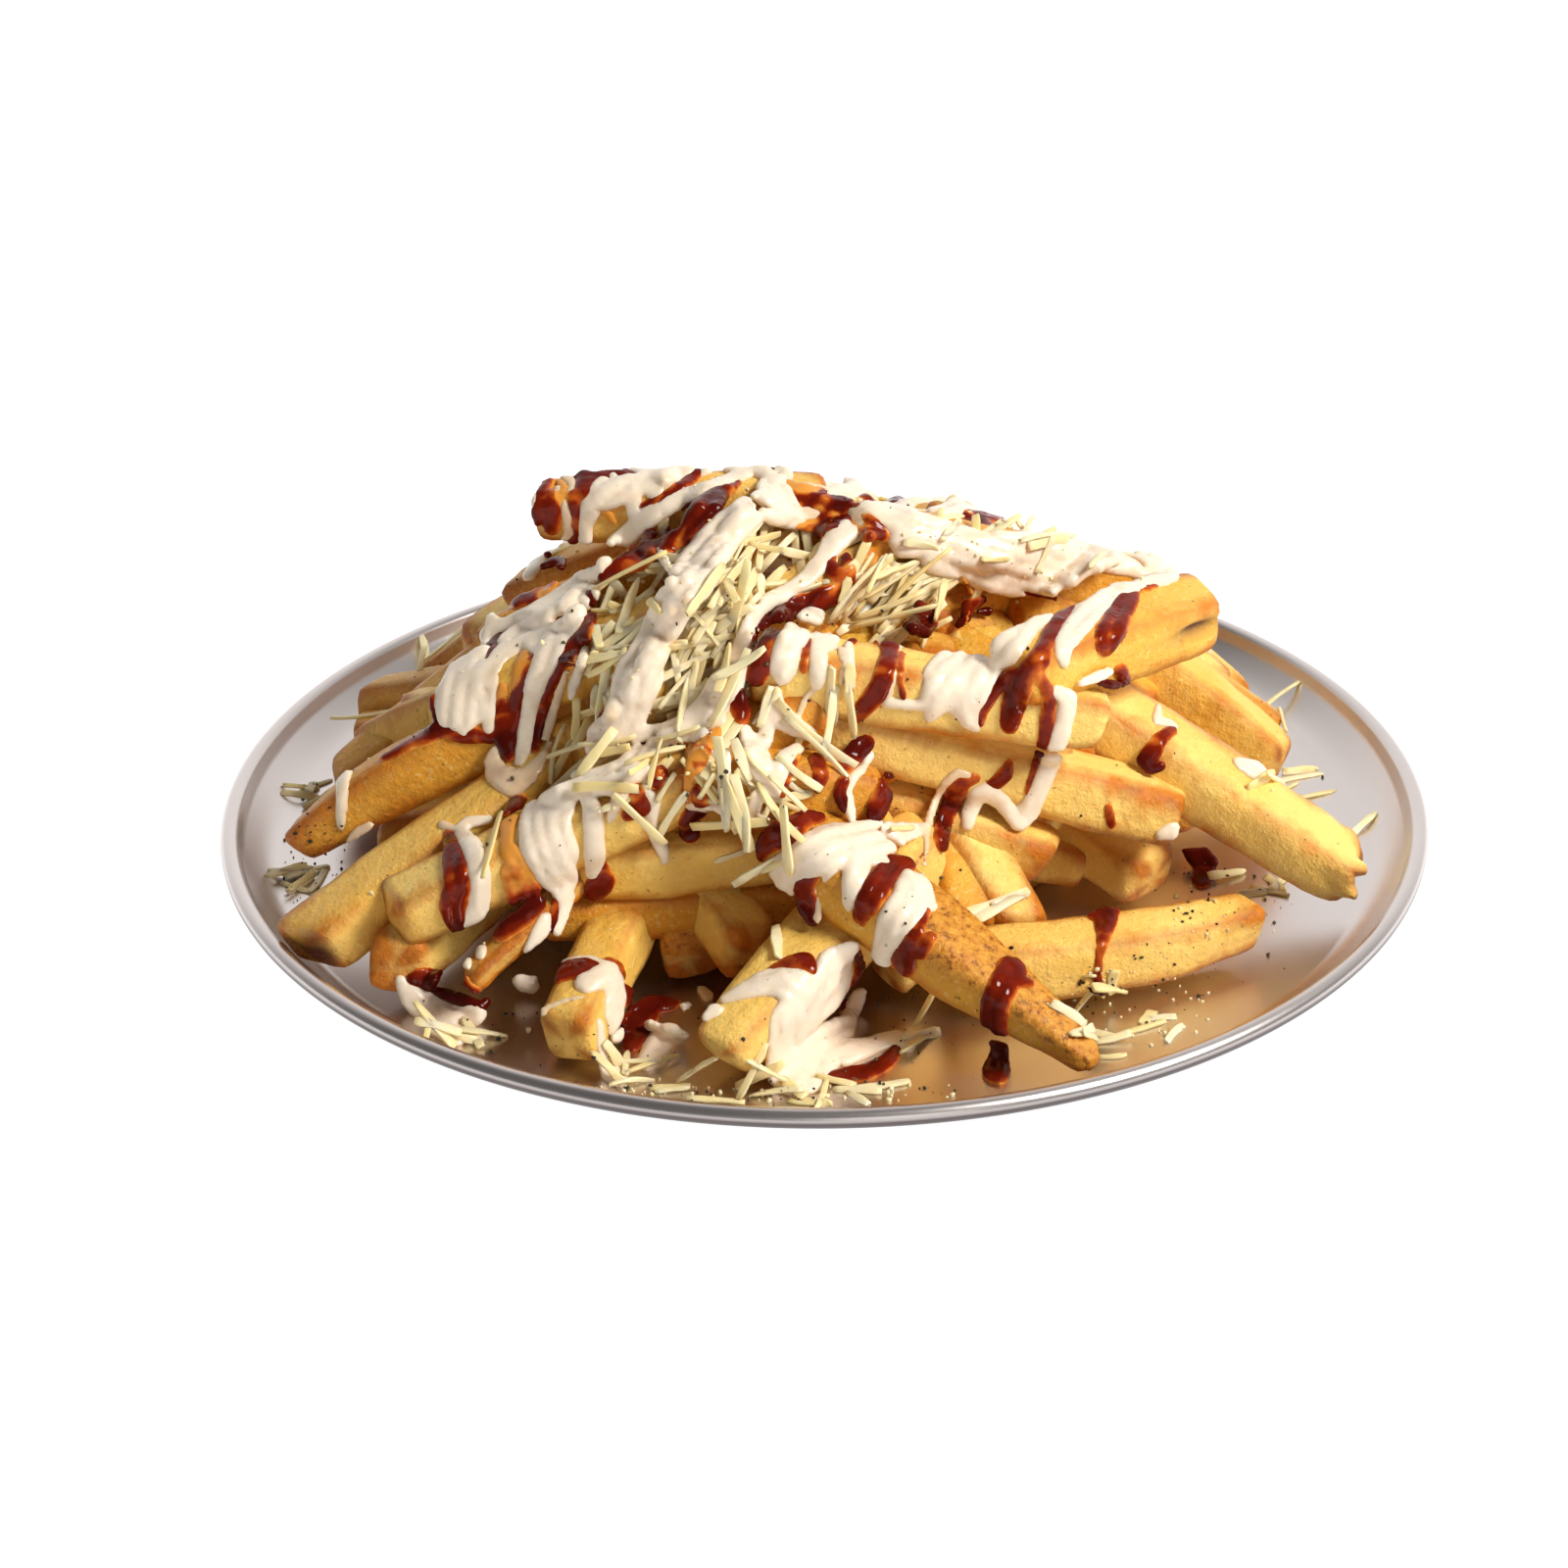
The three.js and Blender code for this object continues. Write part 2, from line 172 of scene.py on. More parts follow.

# The sauces, painted in this order over the photograph: each stroke is a line of points
# (x, y, width) in pixels. A later stroke covers an earlier one of the other sauce. A thin one
# lets what is under it show through, and thin garlic is painted a darker beige, partly as painted shade.
STROKES = (
    # Barbecue under the rest
    ("barbecue", (585, 474, 14), (600, 480, 18), (620, 486, 18), (640, 489, 10)),
    ("barbecue", (560, 484, 16), (575, 478, 16), (592, 476, 20), (600, 488, 24), (596, 502, 18)),
    ("barbecue", (592, 474, 16), (593, 464, 9), (591, 457, 4)),
    ("barbecue", (556, 492, 14), (549, 510, 16), (548, 530, 14)),
    ("barbecue", (562, 508, 14), (563, 524, 18), (563, 537, 16)),
    ("thin barbecue", (566, 574, 22), (556, 590, 30), (544, 606, 30)),
    ("barbecue", (585, 505, 12), (588, 520, 12), (586, 545, 14), (584, 556, 10)),
    ("barbecue", (560, 566, 10), (546, 590, 16), (530, 610, 22), (546, 616, 16)),
    ("barbecue", (752, 492, 8), (738, 501, 14), (722, 514, 26), (708, 528, 34), (694, 542, 30),
     (682, 556, 22)),
    ("barbecue", (663, 545, 12), (664, 556, 16), (652, 568, 22), (634, 578, 16), (616, 588, 10)),
    ("thin barbecue", (770, 478, 12), (784, 480, 18), (796, 490, 20)),
    ("barbecue", (788, 484, 14), (788, 472, 10), (789, 464, 5)),
    ("barbecue", (808, 506, 16), (830, 509, 16), (852, 514, 14), (866, 522, 10)),
    ("thin garlic", (802, 498, 14), (830, 500, 14), (860, 508, 14), (890, 520, 16)),
    ("thin barbecue", (810, 524, 26), (836, 528, 28), (862, 530, 26), (888, 538, 22), (906, 546, 16)),
    ("barbecue", (836, 544, 10), (850, 538, 16), (866, 534, 14)),
    ("barbecue", (886, 530, 12), (900, 542, 10), (884, 548, 10)),
    ("barbecue", (850, 562, 10), (846, 573, 10), (852, 586, 14), (862, 590, 16), (866, 580, 10),
     (863, 568, 8)),
    ("barbecue", (866, 598, 16), (852, 606, 20), (838, 612, 20), (824, 616, 16), (812, 618, 22),
     (800, 626, 22)),
    ("barbecue", (795, 630, 24), (784, 648, 26), (778, 668, 24), (772, 690, 20)),
    ("barbecue", (752, 704, 12), (752, 716, 20), (757, 728, 18), (758, 736, 10)),
    ("barbecue", (603, 602, 10), (601, 630, 12), (596, 648, 14), (584, 662, 18), (570, 680, 16),
     (560, 702, 14), (554, 722, 13), (548, 745, 12), (546, 766, 7)),
    ("thin barbecue", (594, 652, 12), (590, 672, 10), (583, 692, 6)),
    ("barbecue", (546, 668, 5), (538, 684, 8), (532, 702, 12), (526, 722, 14), (522, 740, 16)),
    ("barbecue", (458, 682, 6), (444, 688, 10), (440, 704, 10), (441, 722, 10), (446, 738, 9)),
    ("barbecue", (448, 744, 14), (464, 750, 14), (482, 750, 16), (500, 752, 14)),
    ("barbecue", (512, 716, 10), (514, 736, 18), (517, 756, 20), (520, 772, 12)),
    ("thin barbecue", (514, 700, 12), (510, 720, 14)),
    ("barbecue", (938, 618, 10), (948, 630, 22), (936, 640, 24), (944, 648, 14)),
    ("barbecue", (932, 652, 18), (918, 650, 16)),
    ("barbecue", (1002, 612, 6), (988, 618, 12), (986, 630, 10), (978, 638, 6)),
    ("barbecue", (1000, 624, 5), (1010, 624, 7)),
    ("barbecue", (906, 650, 16), (908, 664, 18), (906, 684, 20), (900, 700, 22), (890, 714, 18),
     (878, 726, 16), (872, 734, 8)),
    ("barbecue", (862, 662, 4), (872, 652, 7), (884, 648, 8), (896, 656, 6)),
    ("barbecue", (920, 668, 6), (918, 690, 5), (922, 712, 4)),
    ("barbecue", (825, 655, 6), (822, 668, 8), (820, 684, 6)),
    ("barbecue", (1034, 688, 10), (1022, 696, 9), (1012, 710, 9), (1002, 726, 11), (997, 738, 11)),
    ("barbecue", (1046, 690, 20), (1040, 702, 26), (1034, 720, 24), (1030, 736, 20), (1030, 742, 14)),
    ("barbecue", (1060, 690, 12), (1068, 704, 14), (1070, 720, 14), (1068, 740, 12), (1064, 760, 9),
     (1058, 776, 7), (1052, 796, 6), (1048, 810, 4)),
    ("barbecue", (1096, 618, 12), (1084, 632, 20), (1074, 646, 20), (1066, 660, 16), (1060, 674, 20),
     (1050, 684, 18)),
    ("thin barbecue", (1128, 616, 12), (1116, 634, 12), (1100, 654, 8)),
    ("barbecue", (1158, 608, 10), (1148, 618, 22), (1142, 632, 28), (1134, 646, 26), (1128, 658, 20),
     (1128, 664, 12)),
    ("barbecue", (1126, 600, 8), (1140, 606, 8), (1156, 601, 8), (1170, 599, 10), (1186, 590, 10)),
    ("barbecue", (1144, 684, 12), (1148, 696, 10), (1146, 704, 6)),
    ("barbecue", (1122, 696, 6), (1138, 700, 8), (1150, 706, 6)),
    ("barbecue", (1196, 746, 10), (1184, 754, 12), (1176, 766, 14), (1168, 776, 14), (1172, 785, 8),
     (1184, 782, 8)),
    ("barbecue", (996, 794, 8), (982, 796, 16), (974, 808, 20), (968, 824, 18), (962, 842, 16),
     (960, 858, 14), (962, 864, 8)),
    ("barbecue", (1030, 778, 6), (1026, 790, 14), (1018, 798, 12), (1010, 802, 8)),
    ("barbecue", (1131, 822, 5), (1132, 834, 7), (1134, 842, 6)),
    ("barbecue", (884, 758, 14), (876, 764, 20), (866, 776, 18), (862, 784, 12)),
    ("barbecue", (906, 794, 12), (904, 806, 20), (898, 820, 22), (894, 830, 16)),
    ("barbecue", (814, 772, 5), (806, 786, 6), (801, 800, 6), (798, 812, 5)),
    ("barbecue", (834, 776, 14), (838, 792, 14), (834, 806, 6)),
    ("barbecue", (860, 800, 16), (858, 812, 14), (862, 826, 6)),
    ("barbecue", (682, 760, 9), (690, 754, 8), (700, 758, 6)),
    ("thin barbecue", (730, 746, 12), (722, 758, 22), (712, 774, 18), (704, 792, 12), (702, 804, 8)),
    ("barbecue", (712, 808, 14), (716, 820, 16), (704, 838, 24), (704, 850, 18)),
    ("barbecue", (650, 808, 16), (656, 822, 18), (640, 832, 10)),
    ("barbecue", (674, 788, 12), (668, 800, 12)),
    ("barbecue", (838, 834, 8), (822, 836, 18), (806, 846, 26), (790, 852, 28), (776, 862, 20),
     (772, 878, 12), (772, 886, 6)),
    ("barbecue", (832, 888, 12), (820, 904, 22), (824, 922, 22), (830, 938, 14)),
    ("barbecue", (926, 882, 14), (908, 884, 20), (896, 900, 24), (888, 916, 24), (880, 932, 16),
     (878, 942, 8)),
    ("barbecue", (944, 930, 8), (936, 944, 12), (930, 962, 16), (924, 978, 22), (926, 990, 12)),
    ("barbecue", (950, 958, 12), (940, 972, 14)),
    ("barbecue", (790, 990, 10), (806, 984, 16), (822, 982, 20), (830, 992, 12), (828, 1010, 7)),
    ("barbecue", (872, 968, 8), (878, 984, 8), (874, 1000, 10), (866, 1006, 10)),
    ("barbecue", (838, 1104, 9), (860, 1099, 14), (884, 1096, 16), (904, 1086, 16), (914, 1074, 12)),
    ("barbecue", (570, 998, 10), (582, 990, 20), (598, 988, 18), (612, 990, 10)),
    ("barbecue", (620, 982, 9), (630, 987, 10), (634, 996, 7)),
    ("barbecue", (634, 1008, 8), (644, 1020, 18), (652, 1036, 34), (650, 1052, 26), (644, 1066, 18)),
    ("barbecue", (658, 1028, 18), (676, 1025, 14), (690, 1027, 7)),
    ("barbecue", (458, 850, 9), (462, 864, 16), (466, 884, 26), (467, 904, 30), (464, 924, 28),
     (468, 944, 16), (470, 956, 10)),
    ("thin barbecue", (532, 814, 14), (522, 828, 18), (518, 846, 16), (517, 864, 18), (524, 882, 28),
     (532, 898, 38), (534, 914, 42)),
    ("barbecue", (550, 922, 14), (534, 932, 26), (520, 942, 28), (513, 954, 16)),
    ("barbecue", (448, 744, 14), (438, 753, 18), (422, 759, 14), (404, 768, 8), (392, 774, 5)),
    ("barbecue", (614, 884, 10), (614, 900, 26), (606, 911, 18)),
    ("barbecue", (428, 1000, 22), (458, 1006, 30), (486, 1022, 26)),
    ("barbecue", (1024, 984, 12), (1030, 993, 30), (1022, 1006, 30), (1016, 1022, 25), (1014, 1040, 22),
     (1017, 1056, 20), (1020, 1070, 14), (1018, 1084, 20), (1018, 1094, 26)),
    ("barbecue", (1050, 1004, 8), (1038, 1002, 14)),
    ("barbecue", (1116, 934, 10), (1130, 930, 22), (1128, 942, 18), (1126, 956, 12), (1122, 972, 8),
     (1120, 990, 6), (1120, 1004, 6)),
    ("barbecue", (1088, 1028, 6), (1100, 1022, 10), (1114, 1017, 20), (1124, 1012, 12)),
    ("barbecue", (1212, 864, 14), (1222, 872, 22), (1232, 884, 22), (1226, 898, 18)),
    # Garlic over it
    ("garlic", (546, 506, 10), (540, 522, 15), (541, 537, 14), (534, 546, 4)),
    ("thin garlic", (570, 486, 14), (580, 495, 18), (572, 502, 14)),
    # Garlic in shade: its darker thin beige is painted shade.
    ("thin garlic", (574, 510, 11), (579, 528, 15), (582, 544, 11), (572, 556, 7)),
    ("garlic", (752, 478, 10), (732, 474, 12), (710, 477, 18), (688, 482, 24), (664, 488, 28),
     (640, 493, 30), (618, 503, 28), (603, 517, 21), (596, 536, 14), (597, 556, 11), (601, 572, 6)),
    ("garlic", (646, 500, 20), (646, 518, 12), (647, 534, 8), (643, 543, 5)),
    ("garlic", (660, 492, 22), (670, 504, 12)),
    ("garlic", (770, 480, 9), (748, 489, 14), (722, 499, 13), (700, 507, 14), (684, 514, 17),
     (664, 526, 21), (646, 541, 20), (628, 557, 18), (612, 575, 18), (598, 592, 21), (580, 606, 26),
     (560, 620, 26), (540, 632, 20), (522, 644, 14)),
    ("garlic", (673, 560, 5), (678, 571, 7), (684, 583, 6)),
    ("garlic", (600, 606, 22), (584, 624, 40), (566, 642, 44), (550, 654, 30)),
    ("garlic", (548, 634, 30), (524, 648, 36), (500, 662, 40), (482, 680, 44)),
    ("garlic", (566, 650, 30), (556, 674, 27), (548, 698, 24), (542, 720, 20), (538, 742, 17),
     (535, 762, 15), (531, 778, 9)),
    ("garlic", (524, 640, 16), (508, 642, 22), (496, 656, 22), (488, 672, 28), (480, 690, 38),
     (474, 704, 46), (472, 720, 48)),
    ("garlic", (455, 716, 15), (455, 732, 14), (455, 739, 10)),
    ("garlic", (474, 720, 20), (474, 740, 18), (474, 748, 12)),
    ("garlic", (512, 664, 9), (506, 684, 8), (502, 706, 8), (500, 730, 11), (499, 745, 10)),
    ("garlic", (506, 640, 16), (499, 628, 9), (495, 618, 4)),
    ("thin garlic", (578, 668, 8), (574, 690, 11), (568, 712, 11), (561, 736, 12), (556, 754, 8)),
    ("garlic", (597, 662, 7), (592, 680, 9), (586, 698, 8), (583, 712, 5)),
    ("garlic", (784, 508, 18), (764, 522, 24), (746, 538, 34), (730, 558, 42), (714, 580, 42),
     (698, 602, 41), (684, 624, 38), (673, 645, 36), (664, 664, 36), (655, 684, 42), (648, 702, 44),
     (642, 720, 42), (632, 738, 38), (618, 752, 30), (606, 764, 16)),
    ("garlic", (864, 543, 20), (850, 553, 18), (838, 572, 15), (824, 590, 16), (804, 604, 15),
     (786, 612, 13), (772, 624, 13), (764, 640, 15), (758, 660, 18), (750, 680, 22), (742, 696, 24),
     (734, 712, 30), (724, 728, 32), (708, 742, 24), (690, 748, 20), (672, 754, 22), (660, 768, 28),
     (648, 784, 32)),
    ("garlic", (830, 628, 20), (814, 644, 24), (804, 664, 27), (798, 682, 23), (798, 690, 14)),
    ("garlic", (834, 650, 13), (835, 668, 15), (836, 686, 16), (834, 698, 10)),
    ("thin garlic", (833, 700, 7), (822, 712, 8), (816, 728, 7), (812, 738, 4)),
    ("garlic", (852, 642, 18), (846, 658, 16)),
    ("thin garlic", (857, 662, 6), (858, 690, 6), (860, 714, 4)),
    ("garlic", (866, 660, 9), (866, 680, 12), (869, 700, 6)),
    ("garlic", (800, 492, 10), (790, 500, 30), (794, 516, 40), (812, 528, 24)),
    ("thin garlic", (824, 524, 18), (834, 526, 12)),
    ("thin garlic", (872, 524, 14), (880, 534, 12)),
    ("garlic", (860, 512, 6), (884, 520, 9), (908, 532, 14), (926, 546, 26)),
    ("garlic", (922, 552, 32), (944, 552, 36), (970, 558, 36), (1000, 566, 38), (1030, 573, 42),
     (1060, 580, 46), (1090, 587, 44), (1120, 589, 32), (1150, 593, 26), (1176, 592, 12)),
    ("garlic", (1020, 552, 20), (1050, 558, 28), (1082, 567, 34), (1116, 575, 38), (1148, 583, 34),
     (1174, 589, 24), (1190, 592, 12)),
    ("garlic", (888, 517, 14), (914, 524, 20), (944, 535, 22), (976, 546, 20), (1010, 555, 18)),
    ("garlic", (952, 574, 20), (980, 582, 16), (1000, 590, 22), (1036, 600, 18), (1070, 600, 14)),
    ("garlic", (1062, 624, 28), (1044, 632, 40), (1024, 650, 48), (1004, 666, 54), (984, 682, 60),
     (968, 696, 50), (958, 708, 36), (952, 720, 22), (948, 731, 9)),
    ("garlic", (1000, 682, 44), (990, 704, 40), (984, 716, 30), (988, 730, 24), (995, 742, 9)),
    ("garlic", (905, 717, 9), (920, 718, 8), (936, 720, 9), (948, 714, 12)),
    ("thin garlic", (918, 660, 8), (914, 680, 7), (908, 700, 9), (905, 714, 9)),
    ("garlic", (1140, 602, 20), (1124, 613, 27), (1108, 627, 28), (1094, 643, 26), (1085, 657, 21),
     (1084, 668, 15), (1086, 678, 7)),
    ("garlic", (1078, 706, 11), (1090, 712, 16), (1088, 728, 20), (1082, 748, 19), (1074, 770, 17),
     (1066, 790, 17), (1058, 810, 18), (1050, 827, 19), (1040, 838, 17), (1032, 830, 13),
     (1022, 818, 15), (1008, 808, 16), (996, 812, 15), (989, 828, 14), (987, 842, 10)),
    ("thin garlic", (988, 792, 9), (976, 790, 11), (964, 800, 10), (956, 814, 9), (950, 830, 8),
     (946, 850, 7), (944, 880, 6), (940, 896, 5)),
    ("garlic", (1104, 697, 6), (1120, 691, 9), (1132, 685, 7)),
    ("garlic", (1181, 722, 6), (1180, 736, 7), (1192, 738, 8), (1199, 742, 5)),
    ("garlic", (888, 770, 6), (880, 784, 9), (870, 794, 8), (864, 806, 7), (867, 826, 8), (869, 836, 5)),
    ("garlic", (790, 706, 13), (790, 720, 18), (796, 733, 18), (812, 742, 16), (828, 750, 10)),
    ("garlic", (782, 736, 15), (782, 752, 14), (776, 764, 14)),
    ("garlic", (814, 764, 9), (802, 773, 13), (795, 790, 13), (791, 808, 11)),
    ("garlic", (760, 744, 9), (766, 760, 18), (772, 776, 24), (780, 790, 20), (789, 800, 7)),
    ("garlic", (742, 768, 7), (738, 788, 10), (740, 806, 12), (748, 822, 12), (756, 838, 13),
     (762, 852, 10), (766, 866, 5)),
    ("garlic", (784, 802, 8), (773, 812, 10), (766, 826, 13), (763, 842, 12)),
    ("garlic", (704, 822, 7), (722, 824, 10), (740, 826, 12)),
    ("garlic", (768, 836, 10), (784, 840, 8)),
    ("garlic", (660, 806, 9), (668, 820, 11), (664, 836, 11), (668, 852, 12), (676, 868, 11),
     (678, 880, 5)),
    ("garlic", (578, 800, 16), (604, 798, 24), (624, 797, 28), (640, 791, 28), (656, 778, 24)),
    ("garlic", (636, 806, 16), (628, 822, 12), (622, 838, 5)),
    # Garlic in shade: its darker thin beige is painted shade.
    ("thin garlic", (506, 764, 10), (502, 776, 16), (510, 790, 28), (524, 798, 32), (540, 792, 20),
     (552, 776, 11), (562, 758, 7)),
    ("garlic", (500, 836, 7), (478, 839, 11), (470, 849, 12), (482, 865, 21), (488, 884, 22),
     (489, 904, 22), (487, 924, 21), (479, 942, 19), (472, 960, 13), (474, 976, 12), (478, 987, 5)),
    ("thin garlic", (452, 842, 11), (462, 846, 10)),
    ("garlic", (592, 800, 14), (574, 808, 28), (562, 824, 52), (559, 844, 58), (559, 864, 54),
     (564, 882, 42), (574, 898, 26), (575, 914, 18)),
    ("garlic", (577, 914, 14), (574, 934, 10), (567, 952, 9), (556, 968, 8), (548, 976, 5)),
    ("garlic", (556, 938, 13), (549, 954, 16), (541, 971, 14), (537, 980, 8)),
    ("garlic", (596, 804, 12), (603, 822, 15), (606, 845, 20), (607, 868, 20), (606, 885, 18),
     (606, 893, 12)),
    ("garlic", (491, 962, 8), (491, 976, 8)),
    ("garlic", (536, 1002, 20), (539, 1003, 20)),
    ("garlic", (368, 770, 10), (355, 778, 12), (350, 796, 13), (349, 816, 12), (348, 834, 8),
     (348, 846, 4)),
    ("thin garlic", (440, 736, 9), (420, 744, 6), (396, 752, 6), (376, 760, 8), (362, 770, 10)),
    # Garlic in shade: its darker thin beige is painted shade.
    ("thin garlic", (378, 842, 8), (364, 850, 12), (352, 866, 9), (348, 878, 5)),
    ("garlic", (944, 846, 9), (920, 850, 18), (898, 857, 34), (874, 861, 42), (850, 863, 42),
     (826, 873, 42), (806, 885, 38), (798, 901, 29), (796, 916, 23), (794, 926, 12)),
    ("garlic", (872, 870, 30), (872, 888, 28), (869, 905, 20), (867, 918, 13), (866, 926, 6)),
    ("garlic", (852, 880, 16), (846, 890, 9), (842, 898, 4)),
    ("garlic", (890, 874, 18), (906, 882, 13)),
    ("garlic", (926, 900, 20), (930, 911, 34), (924, 926, 36), (914, 942, 29), (908, 958, 24),
     (901, 974, 19), (892, 990, 17), (882, 1005, 14)),
    ("garlic", (944, 912, 16), (950, 925, 10)),
    ("thin garlic", (875, 925, 4), (877, 942, 4), (874, 956, 4)),
    ("garlic", (872, 966, 9), (862, 973, 20), (851, 985, 34), (848, 1000, 40)),
    ("garlic", (840, 1012, 48), (828, 1030, 70), (822, 1048, 82), (822, 1066, 82), (816, 1082, 68),
     (808, 1096, 42)),
    ("garlic", (740, 1020, 7), (758, 1012, 13), (778, 1004, 20), (798, 1003, 28), (814, 1012, 40)),
    ("garlic", (878, 1003, 11), (874, 1020, 12), (866, 1036, 14), (864, 1054, 16)),
    ("garlic", (860, 1076, 24), (880, 1072, 19), (900, 1065, 17), (916, 1062, 15), (928, 1069, 11)),
    ("garlic", (575, 983, 5), (590, 979, 5), (606, 980, 5), (616, 985, 7)),
    ("garlic", (622, 990, 15), (612, 999, 20), (598, 1004, 18)),
    ("garlic", (624, 1000, 18), (628, 1018, 18), (626, 1034, 17), (629, 1047, 16), (629, 1058, 11)),
    ("garlic", (611, 1043, 7), (613, 1060, 8), (616, 1078, 11), (622, 1094, 17), (632, 1103, 14)),
    ("thin garlic", (600, 1017, 5), (580, 1020, 6), (560, 1028, 8), (545, 1040, 9), (538, 1052, 7)),
    ("garlic", (732, 1031, 10), (712, 1036, 14), (694, 1048, 21), (678, 1060, 29), (668, 1076, 27),
     (660, 1086, 14)),
    ("garlic", (663, 1047, 10), (680, 1041, 9), (690, 1031, 7), (702, 1026, 5)),
    # Garlic in shade: its darker thin beige is painted shade.
    ("thin garlic", (716, 1010, 10), (722, 1018, 14)),
    ("garlic", (408, 1000, 8), (414, 1012, 14), (430, 1024, 30), (456, 1036, 34), (484, 1034, 20)),
    ("garlic", (440, 1048, 16), (466, 1058, 18)),
    ("garlic", (1262, 778, 9), (1280, 786, 18), (1290, 794, 12)),
    ("garlic", (1184, 852, 8), (1196, 847, 13), (1206, 852, 18), (1212, 864, 14)),
    ("garlic", (1240, 886, 10), (1256, 896, 15), (1276, 904, 16)),
    ("garlic", (752, 469, 10), (772, 476, 16), (796, 488, 22)),
    ("thin barbecue", (538, 664, 8), (532, 680, 14), (528, 700, 14)),
    # What runs over both
    ("barbecue", (776, 470, 6), (786, 477, 11), (793, 487, 9)),
    ("thin barbecue", (800, 494, 10), (816, 500, 14), (838, 504, 12)),
    ("barbecue", (838, 506, 8), (858, 511, 10), (876, 517, 7)),
    ("thin barbecue", (566, 486, 8), (576, 498, 10), (570, 514, 8)),
    ("barbecue", (594, 474, 12), (614, 478, 16), (636, 484, 13), (652, 488, 6)),
    ("thin barbecue", (672, 476, 6), (690, 474, 8), (704, 470, 5)),
    ("thin barbecue", (606, 516, 5), (620, 524, 9), (628, 534, 6)),
    ("barbecue", (597, 472, 12), (598, 486, 14), (592, 500, 10)),
    ("barbecue", (610, 482, 12), (622, 489, 14)),
    ("barbecue", (725, 469, 5), (716, 478, 8), (704, 490, 11), (690, 500, 11), (674, 511, 11),
     (658, 516, 7)),
    ("thin barbecue", (680, 520, 6), (672, 526, 8)),
    ("thin barbecue", (738, 545, 3), (732, 556, 6), (726, 564, 3)),
    ("barbecue", (541, 633, 5), (526, 640, 9), (512, 650, 12), (503, 662, 13), (499, 678, 8)),
    ("barbecue", (603, 606, 8), (601, 630, 10), (594, 648, 12), (582, 664, 16), (570, 682, 13),
     (561, 702, 11), (554, 724, 10), (548, 745, 9)),
    ("barbecue", (661, 664, 4), (653, 677, 5), (650, 692, 5), (646, 706, 5), (642, 715, 3)),
    ("barbecue", (618, 724, 4), (614, 732, 6), (609, 740, 4)),
    ("thin barbecue", (944, 546, 6), (952, 548, 5), (962, 552, 3)),
    ("thin barbecue", (976, 552, 5), (988, 556, 5), (994, 560, 3)),
    ("thin barbecue", (1004, 566, 4), (1016, 571, 4)),
    ("thin barbecue", (1020, 576, 6), (1026, 586, 8), (1028, 600, 4)),
    ("thin barbecue", (966, 574, 5), (978, 584, 7), (988, 596, 8), (992, 606, 6)),
    ("thin barbecue", (1042, 602, 9), (1060, 606, 8), (1078, 611, 6)),
    ("thin barbecue", (1094, 564, 7), (1100, 572, 6)),
    ("thin barbecue", (628, 799, 4), (632, 791, 8), (639, 793, 6)),
    ("barbecue", (568, 916, 5), (566, 932, 9), (562, 948, 8), (560, 958, 4)),
    ("barbecue", (831, 1018, 4), (833, 1022, 4)),
    ("thin barbecue", (862, 1018, 8), (861, 1030, 5), (860, 1038, 3)),
    ("thin garlic", (829, 892, 3), (831, 908, 5), (834, 926, 9), (832, 938, 9)),
    ("garlic", (636, 748, 14), (650, 752, 20), (664, 752, 20), (678, 746, 14)),
    ("barbecue", (1015, 1040, 13), (1017, 1050, 12), (1019, 1062, 14)),
)

# Strokes on narrow strips of fries far behind what is in front of them, which don't sag
FAR_STROKES = (
    ("garlic", (1092, 562, 18), (1120, 569, 24), (1148, 575, 24), (1172, 581, 22), (1192, 588, 16)),
    ("thin barbecue", (1140, 566, 5), (1156, 572, 6), (1168, 580, 5)),
)

# Drizzle over the back of the heap, dropped from above: lines swung across it, in millimetres
DRIZZLES = (
    dict(sauce="barbecue", swing=(0.34, 0.94), lines=5, spacing=22, offset=2, width=4.5, seed=31),
    dict(sauce="garlic", swing=(0.56, 0.83), lines=7, spacing=16, offset=-3, width=5.5, seed=37),
)
DRIZZLE_FROM = 6
DRIZZLE_REACH = 84

# How the sauces lie. The rises are in millimetres for a stroke of that width in millimetres.
SAUCES = ("garlic", "barbecue")
CELL = 2.0
PLAN_CELL = 0.45
PLAN_HALF = 110
EDGE_WANDER = 0.22
FINE_WANDER = 0.12
SWAY = 0.1
RISE = {"garlic": 0.13, "barbecue": 0.12}
LEAST_RISE = 0.42
MOST_RISE = {"garlic": 1.05, "barbecue": 0.85}
THIN_RISE = 0.62
FLATNESS = 3.0
RIPPLED_FROM = 4.0
RIPPLE = 0.34
RIPPLE_WIDTH = 2.6
COVERED = 0.8
MOTTLE = 0.15
MOTTLE_SIZE = 5.0
THINNEST = 0.26
CLOSING = 3.6
LEVELLING = 3
LEVEL_STEP = 2.5
HELD_SLOPE = (2.6, 1.4)
FREE_SLOPE = (40, 40)
HELD_STEPS = 30
PLAN_SLOPE = (1.6, 1.6)
DEEPEST_SAG = 7.0
SAUCE_VOXEL = 0.42
SAUCE_SWELL = 0.22
SAUCE_FOLD_SIZE = 4
SAUCE_FOLD = 0.1
SAUCE_SMOOTHING = 6
SAUCE_TRIANGLES = 190000
SAUCE_FLOOR = 0.35
THIN_NEIGHBOURS = 6
LOWEST_SAUCE = 0.1
HIGHEST = 76.4
THICK = 2.0

